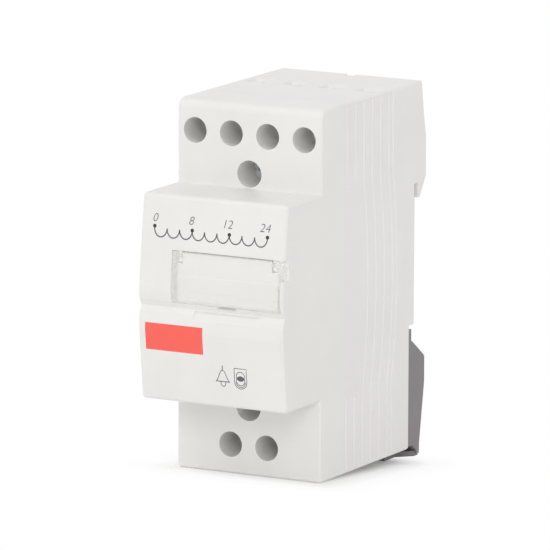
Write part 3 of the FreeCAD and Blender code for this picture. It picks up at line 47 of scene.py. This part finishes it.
print("pieces in the frame:", len(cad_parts))

# %% [markdown]
# ## The camera
# The photograph was taken from the right and a little above, from well over a metre away with
# a long lens, so upright edges stay upright. A camera needs a place, three angles and a lens.
# The lens is easier to think of as its length in pixels of the picture, which is 550 wide.

# %% Place the camera
CAMERA_PLACE = Vector((0.77342, -1.44926, 0.30540))
TURN, RISE, ROLL = (math.radians(angle) for angle in (28.6176, 10.6935, 0.2145))
LENS_IN_PIXELS = 7498.88
PICTURE_WIDTH = 550
SENSOR_MM = 36.0
FARTHEST_SEEN = 20.0


def camera_axes(turn, rise, roll):
    """Right, up and backward directions of a camera with these angles."""
    level = math.cos(rise)
    ahead = Vector((-math.sin(turn) * level, math.cos(turn) * level, -math.sin(rise)))
    right = Vector((math.cos(turn), math.sin(turn), 0.0))
    up = right.cross(ahead)
    rolled_right = right * math.cos(roll) + up * math.sin(roll)
    rolled_up = up * math.cos(roll) - right * math.sin(roll)
    return rolled_right, rolled_up, -ahead


lens = bpy.data.cameras.new("photo_camera")
lens.lens = LENS_IN_PIXELS * SENSOR_MM / PICTURE_WIDTH
lens.sensor_width = SENSOR_MM
lens.clip_end = FARTHEST_SEEN
camera = bpy.data.objects.new("photo_camera", lens)
axes = camera_axes(TURN, RISE, ROLL)
camera.matrix_world = Matrix.Translation(CAMERA_PLACE) @ Matrix(axes).transposed().to_4x4()
bpy.context.scene.collection.objects.link(camera)
bpy.context.scene.camera = camera
print("lens %.1f mm" % lens.lens)

# %% [markdown]
# ## Shader sums written as Python
# A material is a net of nodes. Drawing such a net by hand hides the sum that it stands for, so
# `Tone` wraps a socket and lets Python's own operators add the Math nodes.

# %% A socket that does sums
class Tone:
    """An output socket. A sum with it adds a Math node and gives that node's result."""

    def __init__(self, net, socket):
        self.net = net
        self.socket = socket

    def math(self, operation, left, right):
        made = self.net.node("ShaderNodeMath", {"operation": operation}, {0: left, 1: right})
        return made["Value"]

    def __add__(self, other):
        return self.math("ADD", self, other)

    def __radd__(self, other):
        return self.math("ADD", other, self)

    def __sub__(self, other):
        return self.math("SUBTRACT", self, other)

    def __rsub__(self, other):
        return self.math("SUBTRACT", other, self)

    def __mul__(self, other):
        return self.math("MULTIPLY", self, other)

    def __rmul__(self, other):
        return self.math("MULTIPLY", other, self)

    def __pow__(self, other):
        return self.math("POWER", self, other)


print("a Tone can be added, taken away, multiplied and raised to a power")

# %% [markdown]
# ## One net for materials and the world
# A material and the world's light are both nets that end in one output. `Net` holds either of
# them. Its `node` method makes every node from its type, settings and inputs, so no other code
# has to place or wire one, and the few kinds that come up often get a short method of their own.

# %% A net of nodes
class Net:
    """The nodes of a material or of the world, and the tools that add to them."""

    def __init__(self, tree, output):
        self.tree = tree
        self.output = output

    def feed(self, socket, value):
        if isinstance(value, Tone):
            self.tree.links.new(value.socket, socket)
        else:
            socket.default_value = value

    def node(self, kind, settings, inputs):
        """Make a node, set it, feed its sockets and give its outputs by name."""
        made = self.tree.nodes.new(kind)
        for name, value in settings.items():
            if name == "stops":
                self.set_stops(made.color_ramp, value)
            else:
                setattr(made, name, value)
        for key, value in inputs.items():
            self.feed(made.inputs[key], value)
        return {socket.name: Tone(self, socket) for socket in made.outputs if socket.enabled}

    def set_stops(self, ramp, stops):
        while len(ramp.elements) < len(stops):
            ramp.elements.new(0.5)
        for element, (place, colour) in zip(ramp.elements, stops):
            element.position = place
            element.color = colour

    def sees(self, *kinds):
        """1 for rays of the kinds named, such as Is Camera Ray, and 0 for all others."""
        light_path = self.node("ShaderNodeLightPath", {}, {})
        total = light_path[kinds[0]]
        for kind in kinds[1:]:
            total = total.math("MAXIMUM", total, light_path[kind])
        return total

    def blend(self, factor, other, inputs):
        """Show another shader in place of what was there, as far as the factor says."""
        end = self.tree.nodes[self.output].inputs["Surface"]
        before = Tone(self, end.links[0].from_socket)
        (after,) = self.node(other, {}, inputs).values()
        mixed = self.node("ShaderNodeMixShader", {}, {0: factor, 1: before, 2: after})
        self.feed(end, mixed["Shader"])


print("nets can be fed, blended and asked which rays they meet")

# %% [markdown]
# ## One finish
# `Finish` is the net of one material. What is the same all over the surface is set when the
# finish is made. What varies comes from noise, which is worked out from the place in the CAD
# frame, so a pattern keeps its real scale in millimetres and no piece has to be unwrapped.
#
# `light_gaps` is for thin pale walls. They carry daylight into holes and joints, so a deep gap
# in the real box looks soft grey and never black. Light that scatters under the surface would
# show this too, but it is slow and grainy in so small a thing. So the finish measures how much
# of the open air is hidden within a short reach, and glows very faintly there.

# %% One material
GAP_REACH, GAP_SAMPLES = 0.0015, 4


def paint(red, green, blue):
    """A screen colour, 0 to 255 a channel, as the linear colour that a shader wants."""
    return tuple((channel / 255.0) ** 2.2 for channel in (red, green, blue)) + (1.0,)


class Finish(Net):
    """A material with a Principled shader, and what varies over its surface."""

    def __init__(self, name, **fixed):
        self.material = bpy.data.materials.new(name)
        self.material.use_nodes = True
        super().__init__(self.material.node_tree, "Material Output")
        self.shader = self.tree.nodes["Principled BSDF"]
        for socket, value in fixed.items():
            self.feed(self.shader.inputs[socket.replace("_", " ")], value)

    def place(self):
        return self.node("ShaderNodeTexCoord", {}, {})["Object"]

    def noise(self, scale, detail=2.0, stretch=(1.0, 1.0, 1.0)):
        """Cloudy noise. Scale is in cells per metre, so 1000 gives cells of a millimetre."""
        stretched = {0: self.place(), 1: stretch}
        where = self.node("ShaderNodeVectorMath", {"operation": "MULTIPLY"}, stretched)["Vector"]
        inputs = {"Vector": where, "Scale": scale, "Detail": detail}
        return self.node("ShaderNodeTexNoise", {}, inputs)["Fac"]

    def mix(self, factor, first, second):
        """A colour between two others."""
        inputs = {0: factor, 6: first, 7: second}
        return self.node("ShaderNodeMix", {"data_type": "RGBA"}, inputs)["Result"]

    def steps(self, value, stops):
        """A value turned into another one by a ramp of (place, grey) stops."""
        colours = [(place, (grey, grey, grey, 1.0)) for place, grey in stops]
        return self.node("ShaderNodeValToRGB", {"stops": colours}, {"Fac": value})["Color"]

    def surface(self, colour, roughness, bump=None, depth=None, strength=None):
        """Connect what varies over the surface to the shader. Depth is in metres."""
        if colour is not None:
            self.feed(self.shader.inputs["Base Color"], colour)
        self.feed(self.shader.inputs["Roughness"], roughness)
        if bump is not None:
            inputs = {"Height": bump, "Strength": strength, "Distance": depth}
            relief = self.node("ShaderNodeBump", {}, inputs)
            self.feed(self.shader.inputs["Normal"], relief["Normal"])
        return self.material

    def light_gaps(self, colour, strength):
        """A faint painted glow in narrow gaps, for the light that pale plastic carries in through
        its walls.
        """
        settings = {"samples": GAP_SAMPLES}
        open_air = self.node("ShaderNodeAmbientOcclusion", settings, {"Distance": GAP_REACH})["AO"]
        glow = self.mix(open_air, colour, paint(0, 0, 0))
        self.feed(self.shader.inputs["Emission Color"], glow)
        self.feed(self.shader.inputs["Emission Strength"], strength)


print("white on the screen is", paint(255, 255, 255))

# %% [markdown]
# ## Moulded plastic
# Housings like this one are moulded in a spark-eroded tool, which leaves an even, very fine
# grain that kills the gloss. The colour is mixed in, so wear hardly changes it: what shows is a
# faint cloudiness, and a slightly smoother skin where the melt flowed fast. Three sizes of noise
# give the three effects. Painting them on an image would need unwrapping and look the same. The
# two white shells are the thin pale walls that get a faint painted glow in their gaps; the grey
# clip and the dark mouldings inside carry none.

# %% Make the plastics
CLOUDS, FLOW_MARKS = 55.0, 140.0
WALL_GLOW = 0.08


def moulded(name, light, dark, roughness, grain=9000.0, depth=0.000012, glow=0.0):
    """Moulded plastic between two shades. Grain is in cells per metre, depth in metres."""
    finish = Finish(name, IOR=1.53, Specular_IOR_Level=0.42)
    if glow:
        finish.light_gaps(light, glow)
    cloud = finish.noise(CLOUDS, 3.0)
    flow = finish.noise(FLOW_MARKS, 2.0, (1.0, 0.35, 1.0))
    fine = finish.noise(grain, 4.0)
    shade = finish.steps(cloud * 0.65 + flow * 0.35, [(0.30, 0.0), (0.72, 1.0)])
    colour = finish.mix(shade, dark, light)
    dullness = roughness + (fine - 0.5) * 0.14 + (flow - 0.5) * 0.08
    return finish.surface(colour, dullness, fine, depth, 0.45)


cover_plastic = moulded("moulded white cover", paint(237, 236, 233), paint(231, 230, 227), 0.44,
                        glow=WALL_GLOW)
base_plastic = moulded("moulded white base", paint(238, 235, 234), paint(232, 229, 228), 0.48,
                       glow=WALL_GLOW)
clip_plastic = moulded("moulded grey clip", paint(136, 130, 133), paint(124, 118, 121), 0.46,
                       grain=6500.0, depth=0.00002)
bobbin_plastic = moulded("glass filled bobbin nylon", paint(60, 60, 64), paint(44, 44, 48), 0.55,
                         grain=4200.0, depth=0.00003)
lead_skin = moulded("black lead insulation", paint(38, 38, 40), paint(26, 26, 28), 0.40,
                    grain=3000.0)
print("plastics:", cover_plastic.name, base_plastic.name, clip_plastic.name)

# %% [markdown]
# ## Clear plastic and card
# The flap over the label is clear styrene that looks a little milky. Glass that bends all of
# its light would be grainy in so small a block and too dark at its ends. So about a third of
# what is seen passes it straight, which shows the card and the hinge posts, and the rest is a
# pale body that bends some light and shines a little. The light that falls on the card passes
# whole, or the card would turn grey. The card is white with a faint fibre.

# %% Make the flap's plastic and the card
PASSED_STRAIGHT = 0.35
BENT_SHARE = 0.3
FLAP_GLOW = 0.12

clear = Finish("clear styrene", Base_Color=paint(230, 229, 225), IOR=1.49,
               Transmission_Weight=BENT_SHARE)
# A faint painted glow lightens the flap's narrow gaps too.
clear.light_gaps(paint(238, 237, 233), FLAP_GLOW)
smears = 0.035 + clear.noise(300.0) * 0.05
clear_plastic = clear.surface(None, smears, clear.noise(700.0), 0.000004, 0.2)
light_carriers = clear.sees("Is Shadow Ray", "Is Diffuse Ray")
passed = light_carriers.math("MAXIMUM", light_carriers, PASSED_STRAIGHT)
clear.blend(passed, "ShaderNodeBsdfTransparent", {})

card = Finish("white label card", Specular_IOR_Level=0.25)
fibre = card.noise(2600.0, 3.0, (1.0, 1.0, 0.3))
card_colour = card.mix(fibre, paint(236, 235, 231), paint(243, 242, 239))
card_paper = card.surface(card_colour, 0.7 + fibre * 0.15, fibre, 0.00002, 0.4)
print("flap and card:", clear_plastic.name, card_paper.name)

# %% [markdown]
# ## Metal parts
# Down the holes there are zinc plated screws; behind them are cages, tinned bars, the plated
# strap and the plates of the core. Plating is bright but not a mirror: drawn steel carries fine
# lines, and zinc has a soft mottle. Noise that is stretched along one axis makes the lines.

# %% Make the metals
MOTTLE = 420.0


def metal(name, light, dark, roughness, stretch, scale=1500.0):
    """Bare or plated metal. Its fine lines run along the axis whose factor is smallest."""
    finish = Finish(name, Metallic=1.0)
    lines = finish.noise(scale, 4.0, stretch)
    mottle = finish.noise(MOTTLE, 2.0)
    colour = finish.mix(finish.steps(mottle, [(0.35, 0.0), (0.65, 1.0)]), dark, light)
    return finish.surface(colour, roughness + (lines - 0.5) * 0.25, lines, 0.00001, 0.5)


zinc = metal("bright zinc plate", paint(214, 215, 218), paint(184, 186, 190), 0.30,
             (1.0, 0.15, 1.0))
spring_steel = metal("drawn spring wire", paint(186, 186, 190), paint(150, 150, 156), 0.28,
                     (1.0, 1.0, 4.0))
tinned_brass = metal("tinned brass bar", paint(216, 200, 160), paint(196, 176, 128), 0.32,
                     (1.0, 1.0, 0.1))
core_steel = metal("scaled core plate", paint(98, 100, 108), paint(66, 68, 76), 0.5,
                   (6.0, 0.4, 0.4), 1200.0)
print("metals:", zinc.name, tinned_brass.name, core_steel.name)

# %% [markdown]
# ## Windings, tape and the overload disc
# Enamelled copper is wound in even layers, so a winding is a stack of shiny ridges. A sine of
# the distance along the bobbin makes the ridges, which are too many to model one by one. The same
# sine paints the copper darker between the turns and lighter on them: painted shade. The tape is
# a yellow film with overlapping edges, and the disc has a dull brown coating.

# %% Make the electrical finishes
LAPS_PER_METRE = 330.0


def along_bobbin(finish):
    return finish.node("ShaderNodeSeparateXYZ", {}, {"Vector": finish.place()})["Y"]


def wound(name, wire):
    """Enamelled wire of a given thickness, in metres."""
    finish = Finish(name, Metallic=0.9)
    turns = along_bobbin(finish) * (2.0 * math.pi / wire)
    ridge = finish.node("ShaderNodeMath", {"operation": "SINE"}, {0: turns})["Value"]
    layer = finish.noise(260.0, 2.0, (0.3, 3.0, 0.3))
    # The ridge also sets the colour: painted shade between the turns, a lighter tone on them.
    colour = finish.mix(ridge * 0.3 + layer * 0.6, paint(126, 58, 30), paint(206, 112, 62))
    return finish.surface(colour, 0.34 - ridge * 0.08, ridge, wire * 0.3, 0.8)


def taped():
    """Film wound with an overlap, whose edges waver a little."""
    finish = Finish("yellow film tape", Specular_IOR_Level=0.6)
    laps = along_bobbin(finish) * LAPS_PER_METRE + finish.noise(90.0) * 0.15
    lap = finish.node("ShaderNodeMath", {"operation": "FRACT"}, {0: laps})["Value"]
    edge = finish.steps(lap, [(0.0, 0.0), (0.05, 1.0), (0.95, 1.0), (1.0, 0.2)])
    colour = finish.mix(edge, paint(150, 120, 30), paint(222, 188, 72))
    return finish.surface(colour, 0.28 + finish.noise(500.0) * 0.15, edge, 0.00004, 0.7)


def coated_disc():
    """A dipped coating, dull and speckled."""
    finish = Finish("coated overload disc")
    spots = finish.noise(1800.0, 3.0)
    colour = finish.mix(spots, paint(150, 84, 30), paint(196, 122, 52))
    return finish.surface(colour, 0.45 + spots * 0.2, spots, 0.00003, 0.5)


primary_copper = wound("fine enamelled copper", 0.0002)
secondary_copper = wound("stout enamelled copper", 0.0007)
film_tape = taped()
disc_coat = coated_disc()
print("windings:", primary_copper.name, secondary_copper.name)

# %% [markdown]
# ## Dress the solids
# Each CAD node keeps its shape and gets its finish. The source names its nodes after what they
# are, so how a name begins says which finish it gets, and for the pieces of the terminals, of
# which there are several each, a word inside the name does.

# %% Give every node its material
BEGINNINGS = [
    ("front_cover", cover_plastic),
    ("rear_base", base_plastic),
    ("rail_clip", clip_plastic),
    ("label_flap", clear_plastic),
    ("label_card", card_paper),
    ("clip_spring", spring_steel),
    ("core_strap", zinc),
    ("core_", core_steel),
    ("bobbin", bobbin_plastic),
    ("primary_winding", primary_copper),
    ("secondary_winding", secondary_copper),
    ("primary_tape", film_tape),
    ("secondary_tape", film_tape),
    ("overload_disc", disc_coat),
]
WORDS = [("_lead", lead_skin), ("contact", tinned_brass), ("screw", zinc), ("cage", zinc)]


def finish_of(name):
    for start, material in BEGINNINGS:
        if name.startswith(start):
            return material
    return next(material for word, material in WORDS if word in name)


for name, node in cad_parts.items():
    material = finish_of(name)
    for slot in node.material_slots:
        slot.material = material
    if not node.material_slots:
        node.data.materials.append(material)
print("dressed", len(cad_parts), "nodes")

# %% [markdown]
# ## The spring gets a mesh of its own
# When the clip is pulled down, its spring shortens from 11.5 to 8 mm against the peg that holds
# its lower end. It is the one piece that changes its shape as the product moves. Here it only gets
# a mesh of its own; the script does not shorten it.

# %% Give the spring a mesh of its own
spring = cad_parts["clip_spring"]
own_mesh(spring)

# %% [markdown]
# ## The shape of the nose
# The marks are printed on the nose, which is slightly crowned above its groove and slopes back
# below it. Each mark is a very thin skin that follows the face, so it needs to know how far
# forward the face is at each height. Printing in the shader would also work, but a skin keeps
# its sharp edge at any distance.

# %% Work out the face of the nose
NOSE_FRONT = -60.93
CREST, LOWER_CREST = 1.2, -8.1
TOP_EDGE, TOP_SETBACK = 21.55, 2.3
LOW_EDGE, LOW_SETBACK = -23.9, 1.7
CROWN_RADIUS, LIP_RADIUS = 340.0, 13.0
PRINT_LIFT = 0.012


def nose_face(height):
    """How far forward the face of the nose is at a height, all in millimetres."""
    if height > CREST:
        rise = TOP_EDGE - CREST
        part = (height - CREST) / rise
        crown = (rise * rise + TOP_SETBACK ** 2) * part * (1.0 - part) / (2.0 * CROWN_RADIUS)
        return NOSE_FRONT + TOP_SETBACK * part - crown
    if height < LOWER_CREST:
        return NOSE_FRONT + LOW_SETBACK * (LOWER_CREST - height) / (LOWER_CREST - LOW_EDGE)
    drop = height - LOWER_CREST
    return NOSE_FRONT + LIP_RADIUS - math.sqrt(LIP_RADIUS ** 2 - drop * drop)


print("face at the diagram: %.2f mm" % nose_face(14.0))

# %% [markdown]
# ## Ink
# Pad printing leaves an even film with a faint speckle and a little more gloss than the
# plastic. One function makes an ink of any colour.

# %% Mix the inks
def ink(name, light, dark):
    finish = Finish(name, Specular_IOR_Level=0.5)
    speckle = finish.noise(5200.0, 3.0)
    patch = finish.noise(180.0, 2.0)
    colour = finish.mix(speckle * 0.6 + patch * 0.4, dark, light)
    return finish.surface(colour, 0.34 + speckle * 0.12, speckle, 0.000006, 0.3)


grey_ink = ink("dark grey ink", paint(112, 106, 109), paint(92, 86, 89))
black_ink = ink("black ink", paint(58, 52, 56), paint(40, 36, 39))
red_ink = ink("red ink", paint(252, 103, 91), paint(250, 95, 84))
print("inks:", grey_ink.name, black_ink.name, red_ink.name)

# %% [markdown]
# ## Skins of ink
# A mark is a set of small faces given by points across and up the nose. `ribbon` gives a line
# of points a width, `disc` fills a circle, and `skin` lays the mark just clear of the face.

# %% Tools that print
DISC_SIDES = 28


class Mark:
    """Faces of one printed mark, in millimetres across and up."""

    def __init__(self):
        self.points = []
        self.faces = []

    def add(self, points, faces):
        start = len(self.points)
        self.points += points
        self.faces += [[start + corner for corner in face] for face in faces]

    def ribbon(self, line, width):
        """A line of even width along some points."""
        left, right = [], []
        for number, (x, z) in enumerate(line):
            before = line[max(number - 1, 0)]
            after = line[min(number + 1, len(line) - 1)]
            along = Vector((after[0] - before[0], after[1] - before[1])).normalized()
            left.append((x - along.y * width / 2.0, z + along.x * width / 2.0))
            right.append((x + along.y * width / 2.0, z - along.x * width / 2.0))
        count = len(line)
        faces = [[n, count + n, count + n + 1, n + 1] for n in range(count - 1)]
        self.add(left + right, faces)

    def disc(self, x, z, radius):
        """A filled circle round a point."""
        angles = [2 * math.pi * n / DISC_SIDES for n in range(DISC_SIDES)]
        rim = [(x + radius * math.cos(angle), z + radius * math.sin(angle)) for angle in angles]
        self.add(rim, [list(range(DISC_SIDES))])

    def skin(self, name, material):
        """Lay the mark on the nose as a thin skin that moves with the housing."""
        mesh = bpy.data.meshes.new(name)
        lifted = [(x * MM, (nose_face(z) - PRINT_LIFT) * MM, z * MM) for x, z in self.points]
        mesh.from_pydata(lifted, [], self.faces)
        mesh.materials.append(material)
        mesh.update()
        piece = bpy.data.objects.new(name, mesh)
        bpy.context.scene.collection.objects.link(piece)
        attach(piece, "housing")
        print(name, "has", len(self.faces), "faces")


print("a mark sits %.3f mm in front of the nose" % PRINT_LIFT)

# %% [markdown]
# ## The winding diagram
# Four dots stand for the output terminals, joined by a row of loops that stands for the tapped
# winding. Each loop is half an ellipse that hangs between two cusps, and a short stroke ties
# each dot to the row.

# %% Print the winding diagram
DOTS = (-14.50, -5.20, 3.96, 13.32)
DOT_HEIGHTS = (14.55, 14.32, 14.19, 14.44)
DOT_RADIUS = 0.42
CUSP, LOOP_BOTTOM = 14.2, 12.27
TIE_FOOT = CUSP - 0.2
LOOPS_BETWEEN, STEPS_IN_LOOP = 3, 20
LINE = 0.27

diagram = Mark()
turns = [math.pi * step / STEPS_IN_LOOP for step in range(STEPS_IN_LOOP + 1)]
for left, right in zip(DOTS, DOTS[1:]):
    span = (right - left) / LOOPS_BETWEEN
    for loop in range(LOOPS_BETWEEN):
        middle = left + span * (loop + 0.5)
        diagram.ribbon([(middle - math.cos(turn) * span / 2.0,
                         CUSP - (CUSP - LOOP_BOTTOM) * math.sin(turn)) for turn in turns], LINE)
for x, height in zip(DOTS, DOT_HEIGHTS):
    diagram.ribbon([(x, height), (x, TIE_FOOT)], LINE)
diagram.skin("winding_diagram", grey_ink)

dots = Mark()
for x, height in zip(DOTS, DOT_HEIGHTS):
    dots.disc(x, height, DOT_RADIUS)
dots.skin("diagram_dots", black_ink)

# %% [markdown]
# ## Plain numbers over the dots
# The outputs are numbered like a dial. Blender's own typeface is enough at this size: thinned
# and leaned over, it reads like the slim italic of the print.

# %% Print the numbers
NUMBERS = (("0", -14.52), ("8", -5.6), ("12", 3.3), ("24", 12.58))
NUMBER_SIZE, NUMBER_BASE = 2.65, 15.5
LEAN, THINNING = 0.22, -0.012


def lettering(text, x, z, size):
    """The faces of some text, as a mark."""
    curve = bpy.data.curves.new("lettering", "FONT")
    curve.body = text
    curve.size = size
    curve.align_x = "CENTER"
    curve.shear = LEAN
    curve.offset = THINNING * size
    maker = bpy.data.objects.new("lettering", curve)
    bpy.context.scene.collection.objects.link(maker)
    bpy.context.view_layer.update()
    solved = maker.evaluated_get(bpy.context.evaluated_depsgraph_get())
    mesh = bpy.data.meshes.new_from_object(solved)
    points = [(x + vertex.co.x, z + vertex.co.y) for vertex in mesh.vertices]
    faces = [list(face.vertices) for face in mesh.polygons]
    bpy.data.objects.remove(maker)
    bpy.data.meshes.remove(mesh)
    return points, faces


numbers = Mark()
for text, x in NUMBERS:
    numbers.add(*lettering(text, x, NUMBER_BASE, NUMBER_SIZE))
numbers.skin("output_numbers", grey_ink)

# %% [markdown]
# ## The red field
# Below the groove a red field covers the left half of the nose. It is cut into strips, so that
# it follows the bend of the face near its upper edge.

# %% Print the red field
FIELD_LEFT, FIELD_RIGHT, FIELD_LOW, FIELD_HIGH = -16.15, -1.95, -12.6, -6.6
STRIPS = 24

field = Mark()
heights = [FIELD_LOW + (FIELD_HIGH - FIELD_LOW) * n / STRIPS for n in range(STRIPS + 1)]
points = [(x, z) for z in heights for x in (FIELD_LEFT, FIELD_RIGHT)]
field.add(points, [[2 * n, 2 * n + 1, 2 * n + 3, 2 * n + 2] for n in range(STRIPS)])
field.skin("red_field", red_ink)

# %% [markdown]
# ## A bell
# A bell tells what the transformer is for. It is a line drawing: a stem, two curved sides, a
# foot that stands out a little, and half an ellipse for the clapper.

# %% Print the bell
BELL_X, BELL_TOP, BELL_FOOT, BELL_HALF = 2.62, -15.6, -18.1, 1.62
STEM_TOP, FOOT_OVERHANG = -14.5, 0.1
STEM_LINE, SIDE_LINE, FOOT_LINE = 0.22, 0.17, 0.2
CLAPPER_HALF, CLAPPER_DEPTH, CLAPPER_SHIFT = 0.6, 1.0, 0.1
BELL_SIDE = [(0.0, 0.0), (0.42, -0.18), (0.72, -0.75), (1.0, -1.5), (1.35, -2.15),
             (BELL_HALF, BELL_FOOT - BELL_TOP)]


def arc(x, z, across, up, start, end, steps=18):
    """Points on an ellipse between two angles in degrees."""
    angles = [math.radians(start + (end - start) * n / steps) for n in range(steps + 1)]
    return [(x + across * math.cos(a), z + up * math.sin(a)) for a in angles]


bell = Mark()
bell.ribbon([(BELL_X, STEM_TOP), (BELL_X, BELL_TOP)], STEM_LINE)
bell.ribbon([(BELL_X + x, BELL_TOP + z) for x, z in BELL_SIDE], SIDE_LINE)
bell.ribbon([(BELL_X - x, BELL_TOP + z) for x, z in BELL_SIDE], SIDE_LINE)
bell.ribbon([(BELL_X - BELL_HALF - FOOT_OVERHANG, BELL_FOOT),
             (BELL_X + BELL_HALF + FOOT_OVERHANG, BELL_FOOT)], FOOT_LINE)
bell.ribbon(arc(BELL_X + CLAPPER_SHIFT, BELL_FOOT - CLAPPER_SHIFT,
                CLAPPER_HALF, CLAPPER_DEPTH, 180, 360), SIDE_LINE)
bell.skin("bell_symbol", grey_ink)

# %% [markdown]
# ## A shield
# A shield round two linked coils is the general sign of a safety transformer. The coils are two
# circles, one above the other, and the lens where they overlap is filled: its edge is an arc of
# each circle, cut where the two cross.

# %% Print the shield
SHIELD_X, SHIELD_TOP, SHIELD_TURN, SHIELD_HALF = 7.02, -14.85, -17.85, 1.5
INNER_GAP = 0.35
COIL_HIGH, COIL_LOW, COIL_RADIUS = -16.6, -17.6, 1.02
SHIELD_LINE = 0.16

shield = Mark()
top_left = (SHIELD_X - SHIELD_HALF, SHIELD_TOP)
top_right = (SHIELD_X + SHIELD_HALF, SHIELD_TOP)
round_foot = arc(SHIELD_X, SHIELD_TURN, SHIELD_HALF, SHIELD_HALF, 180, 360)
shield.ribbon([top_left] + round_foot + [top_right, top_left], SHIELD_LINE)
inner = SHIELD_HALF - INNER_GAP
shield.ribbon(arc(SHIELD_X, SHIELD_TURN, inner, inner, 180, 360), SHIELD_LINE)
for height in (COIL_HIGH, COIL_LOW):
    shield.ribbon(arc(SHIELD_X, height, COIL_RADIUS, COIL_RADIUS, 0, 360, 32), SHIELD_LINE)
shield.skin("shield_symbol", grey_ink)

lens_edge = arc(SHIELD_X, COIL_LOW, COIL_RADIUS, COIL_RADIUS, 30, 150)
lens_edge += arc(SHIELD_X, COIL_HIGH, COIL_RADIUS, COIL_RADIUS, 210, 330)
link = Mark()
link.add(lens_edge, [list(range(len(lens_edge)))])
link.skin("shield_link", grey_ink)

# %% [markdown]
# ## The floor
# The box stands on the lower edge of its front and on the foot of its clip, so its real floor
# leans a little against the frame's own axes. The floor is laid through those two lines, and
# that puts the contact shadow where it belongs.

# %% Lay the floor
FRONT_FOOT = Vector((0.0, -0.0428, -0.0422))
REAR_FOOT = Vector((0.0, -0.0055, -0.0447))
FLOOR_HALF = 3.0
FLOOR_DROP = Vector((0.0, 0.0, 0.00002))

down_slope = (REAR_FOOT - FRONT_FOOT).normalized()
across = Vector((1.0, 0.0, 0.0))
corners = [FRONT_FOOT + across * x * FLOOR_HALF + down_slope * y * FLOOR_HALF - FLOOR_DROP
           for x, y in ((-1, -1), (1, -1), (1, 1), (-1, 1))]
floor_mesh = bpy.data.meshes.new("floor")
floor_mesh.from_pydata(corners, [], [[0, 1, 2, 3]])
floor = bpy.data.objects.new("floor", floor_mesh)
bpy.context.scene.collection.objects.link(floor)
print("floor leans %.1f degrees" % math.degrees(math.atan2(-down_slope.z, down_slope.y)))

# %% [markdown]
# ## A white floor that keeps its shadow
# In the photograph the floor is plain white, with a soft shadow at the foot of the box. More
# light would bleach the box too. So the floor itself glows white for the rays that reach the
# eye, fully a centimetre or two away from the box and hardly at all beside it, where its shadow
# shows. It has one side only: a level view from the front looks at it from below, because it
# leans, and sees through it.

# %% Finish the floor
EYE_RAYS = ("Is Camera Ray", "Is Glossy Ray", "Is Transmission Ray")
BOX_HALF, FOOT_MIDDLE, FOOT_HALF = 0.0178, -0.0242, 0.0187
SHADOW_REACH = 0.022
GLOW_STOPS = [(0.0, 0.1), (0.3, 0.85), (0.65, 1.0)]


def beyond(distance, half):
    """How far a distance from the middle lies beyond half a width."""
    outside = distance.math("ABSOLUTE", distance, 0.0) - half
    return outside.math("MAXIMUM", outside, 0.0)


floor_finish = Finish("pale studio floor", Specular_IOR_Level=0.1)
floor_grain = floor_finish.noise(40.0, 3.0)
floor_colour = floor_finish.mix(floor_grain, paint(252, 252, 252), paint(255, 255, 255))
floor_mesh.materials.append(floor_finish.surface(floor_colour, 0.85 + floor_grain * 0.1))

spot = floor_finish.node("ShaderNodeSeparateXYZ", {}, {"Vector": floor_finish.place()})
aside = beyond(spot["X"], BOX_HALF)
ahead = beyond(spot["Y"] - FOOT_MIDDLE, FOOT_HALF)
from_box = (aside * aside + ahead * ahead) ** 0.5
glow = floor_finish.steps(from_box * (1.0 / SHADOW_REACH), GLOW_STOPS)
floor_finish.blend(floor_finish.sees(*EYE_RAYS) * glow, "ShaderNodeEmission", {})
from_below = floor_finish.node("ShaderNodeNewGeometry", {}, {})["Backfacing"]
floor_finish.blend(from_below, "ShaderNodeBsdfTransparent", {})
print("the floor is plain white %.0f mm from the box" % (SHADOW_REACH * GLOW_STOPS[-1][0] / MM))

# %% [markdown]
# ## The light
# Light is soft and comes from nearly everywhere, as in a light tent. A plain world gives it, a
# little weaker than the white that the eye sees behind the box. A large lamp high on the left
# and a smaller one over the camera tell the faces apart.

# %% Light the tent
SKY_STRENGTH = 0.76
LAMP_TARGET = Vector((0.0, -0.03, 0.0))
LAMPS = (
    ("key_lamp", (-0.6, -0.9, 1.7), 1.0, 5.0),
    ("front_lamp", (0.9, -1.7, 0.9), 0.6, 6.6),
)

world = bpy.data.worlds.new("light tent")
world.use_nodes = True
bpy.context.scene.world = world
tent = Net(world.node_tree, "World Output")
sky = world.node_tree.nodes["Background"]
tent.feed(sky.inputs["Color"], paint(255, 255, 255))
tent.feed(sky.inputs["Strength"], SKY_STRENGTH)
behind = {"Color": paint(255, 255, 255), "Strength": 1.0}
tent.blend(tent.sees(*EYE_RAYS), "ShaderNodeBackground", behind)


def soft_lamp(name, place, size, watts):
    """A square lamp that looks at the object."""
    light = bpy.data.lights.new(name, "AREA")
    light.shape = "SQUARE"
    light.size = size
    light.energy = watts
    lamp = bpy.data.objects.new(name, light)
    lamp.location = place
    towards = LAMP_TARGET - Vector(place)
    lamp.rotation_euler = towards.to_track_quat("-Z", "Y").to_euler()
    bpy.context.scene.collection.objects.link(lamp)


for lamp in LAMPS:
    soft_lamp(*lamp)
bpy.context.scene.view_settings.view_transform = "Standard"
print("sky at", SKY_STRENGTH, "with", len(LAMPS), "lamps")
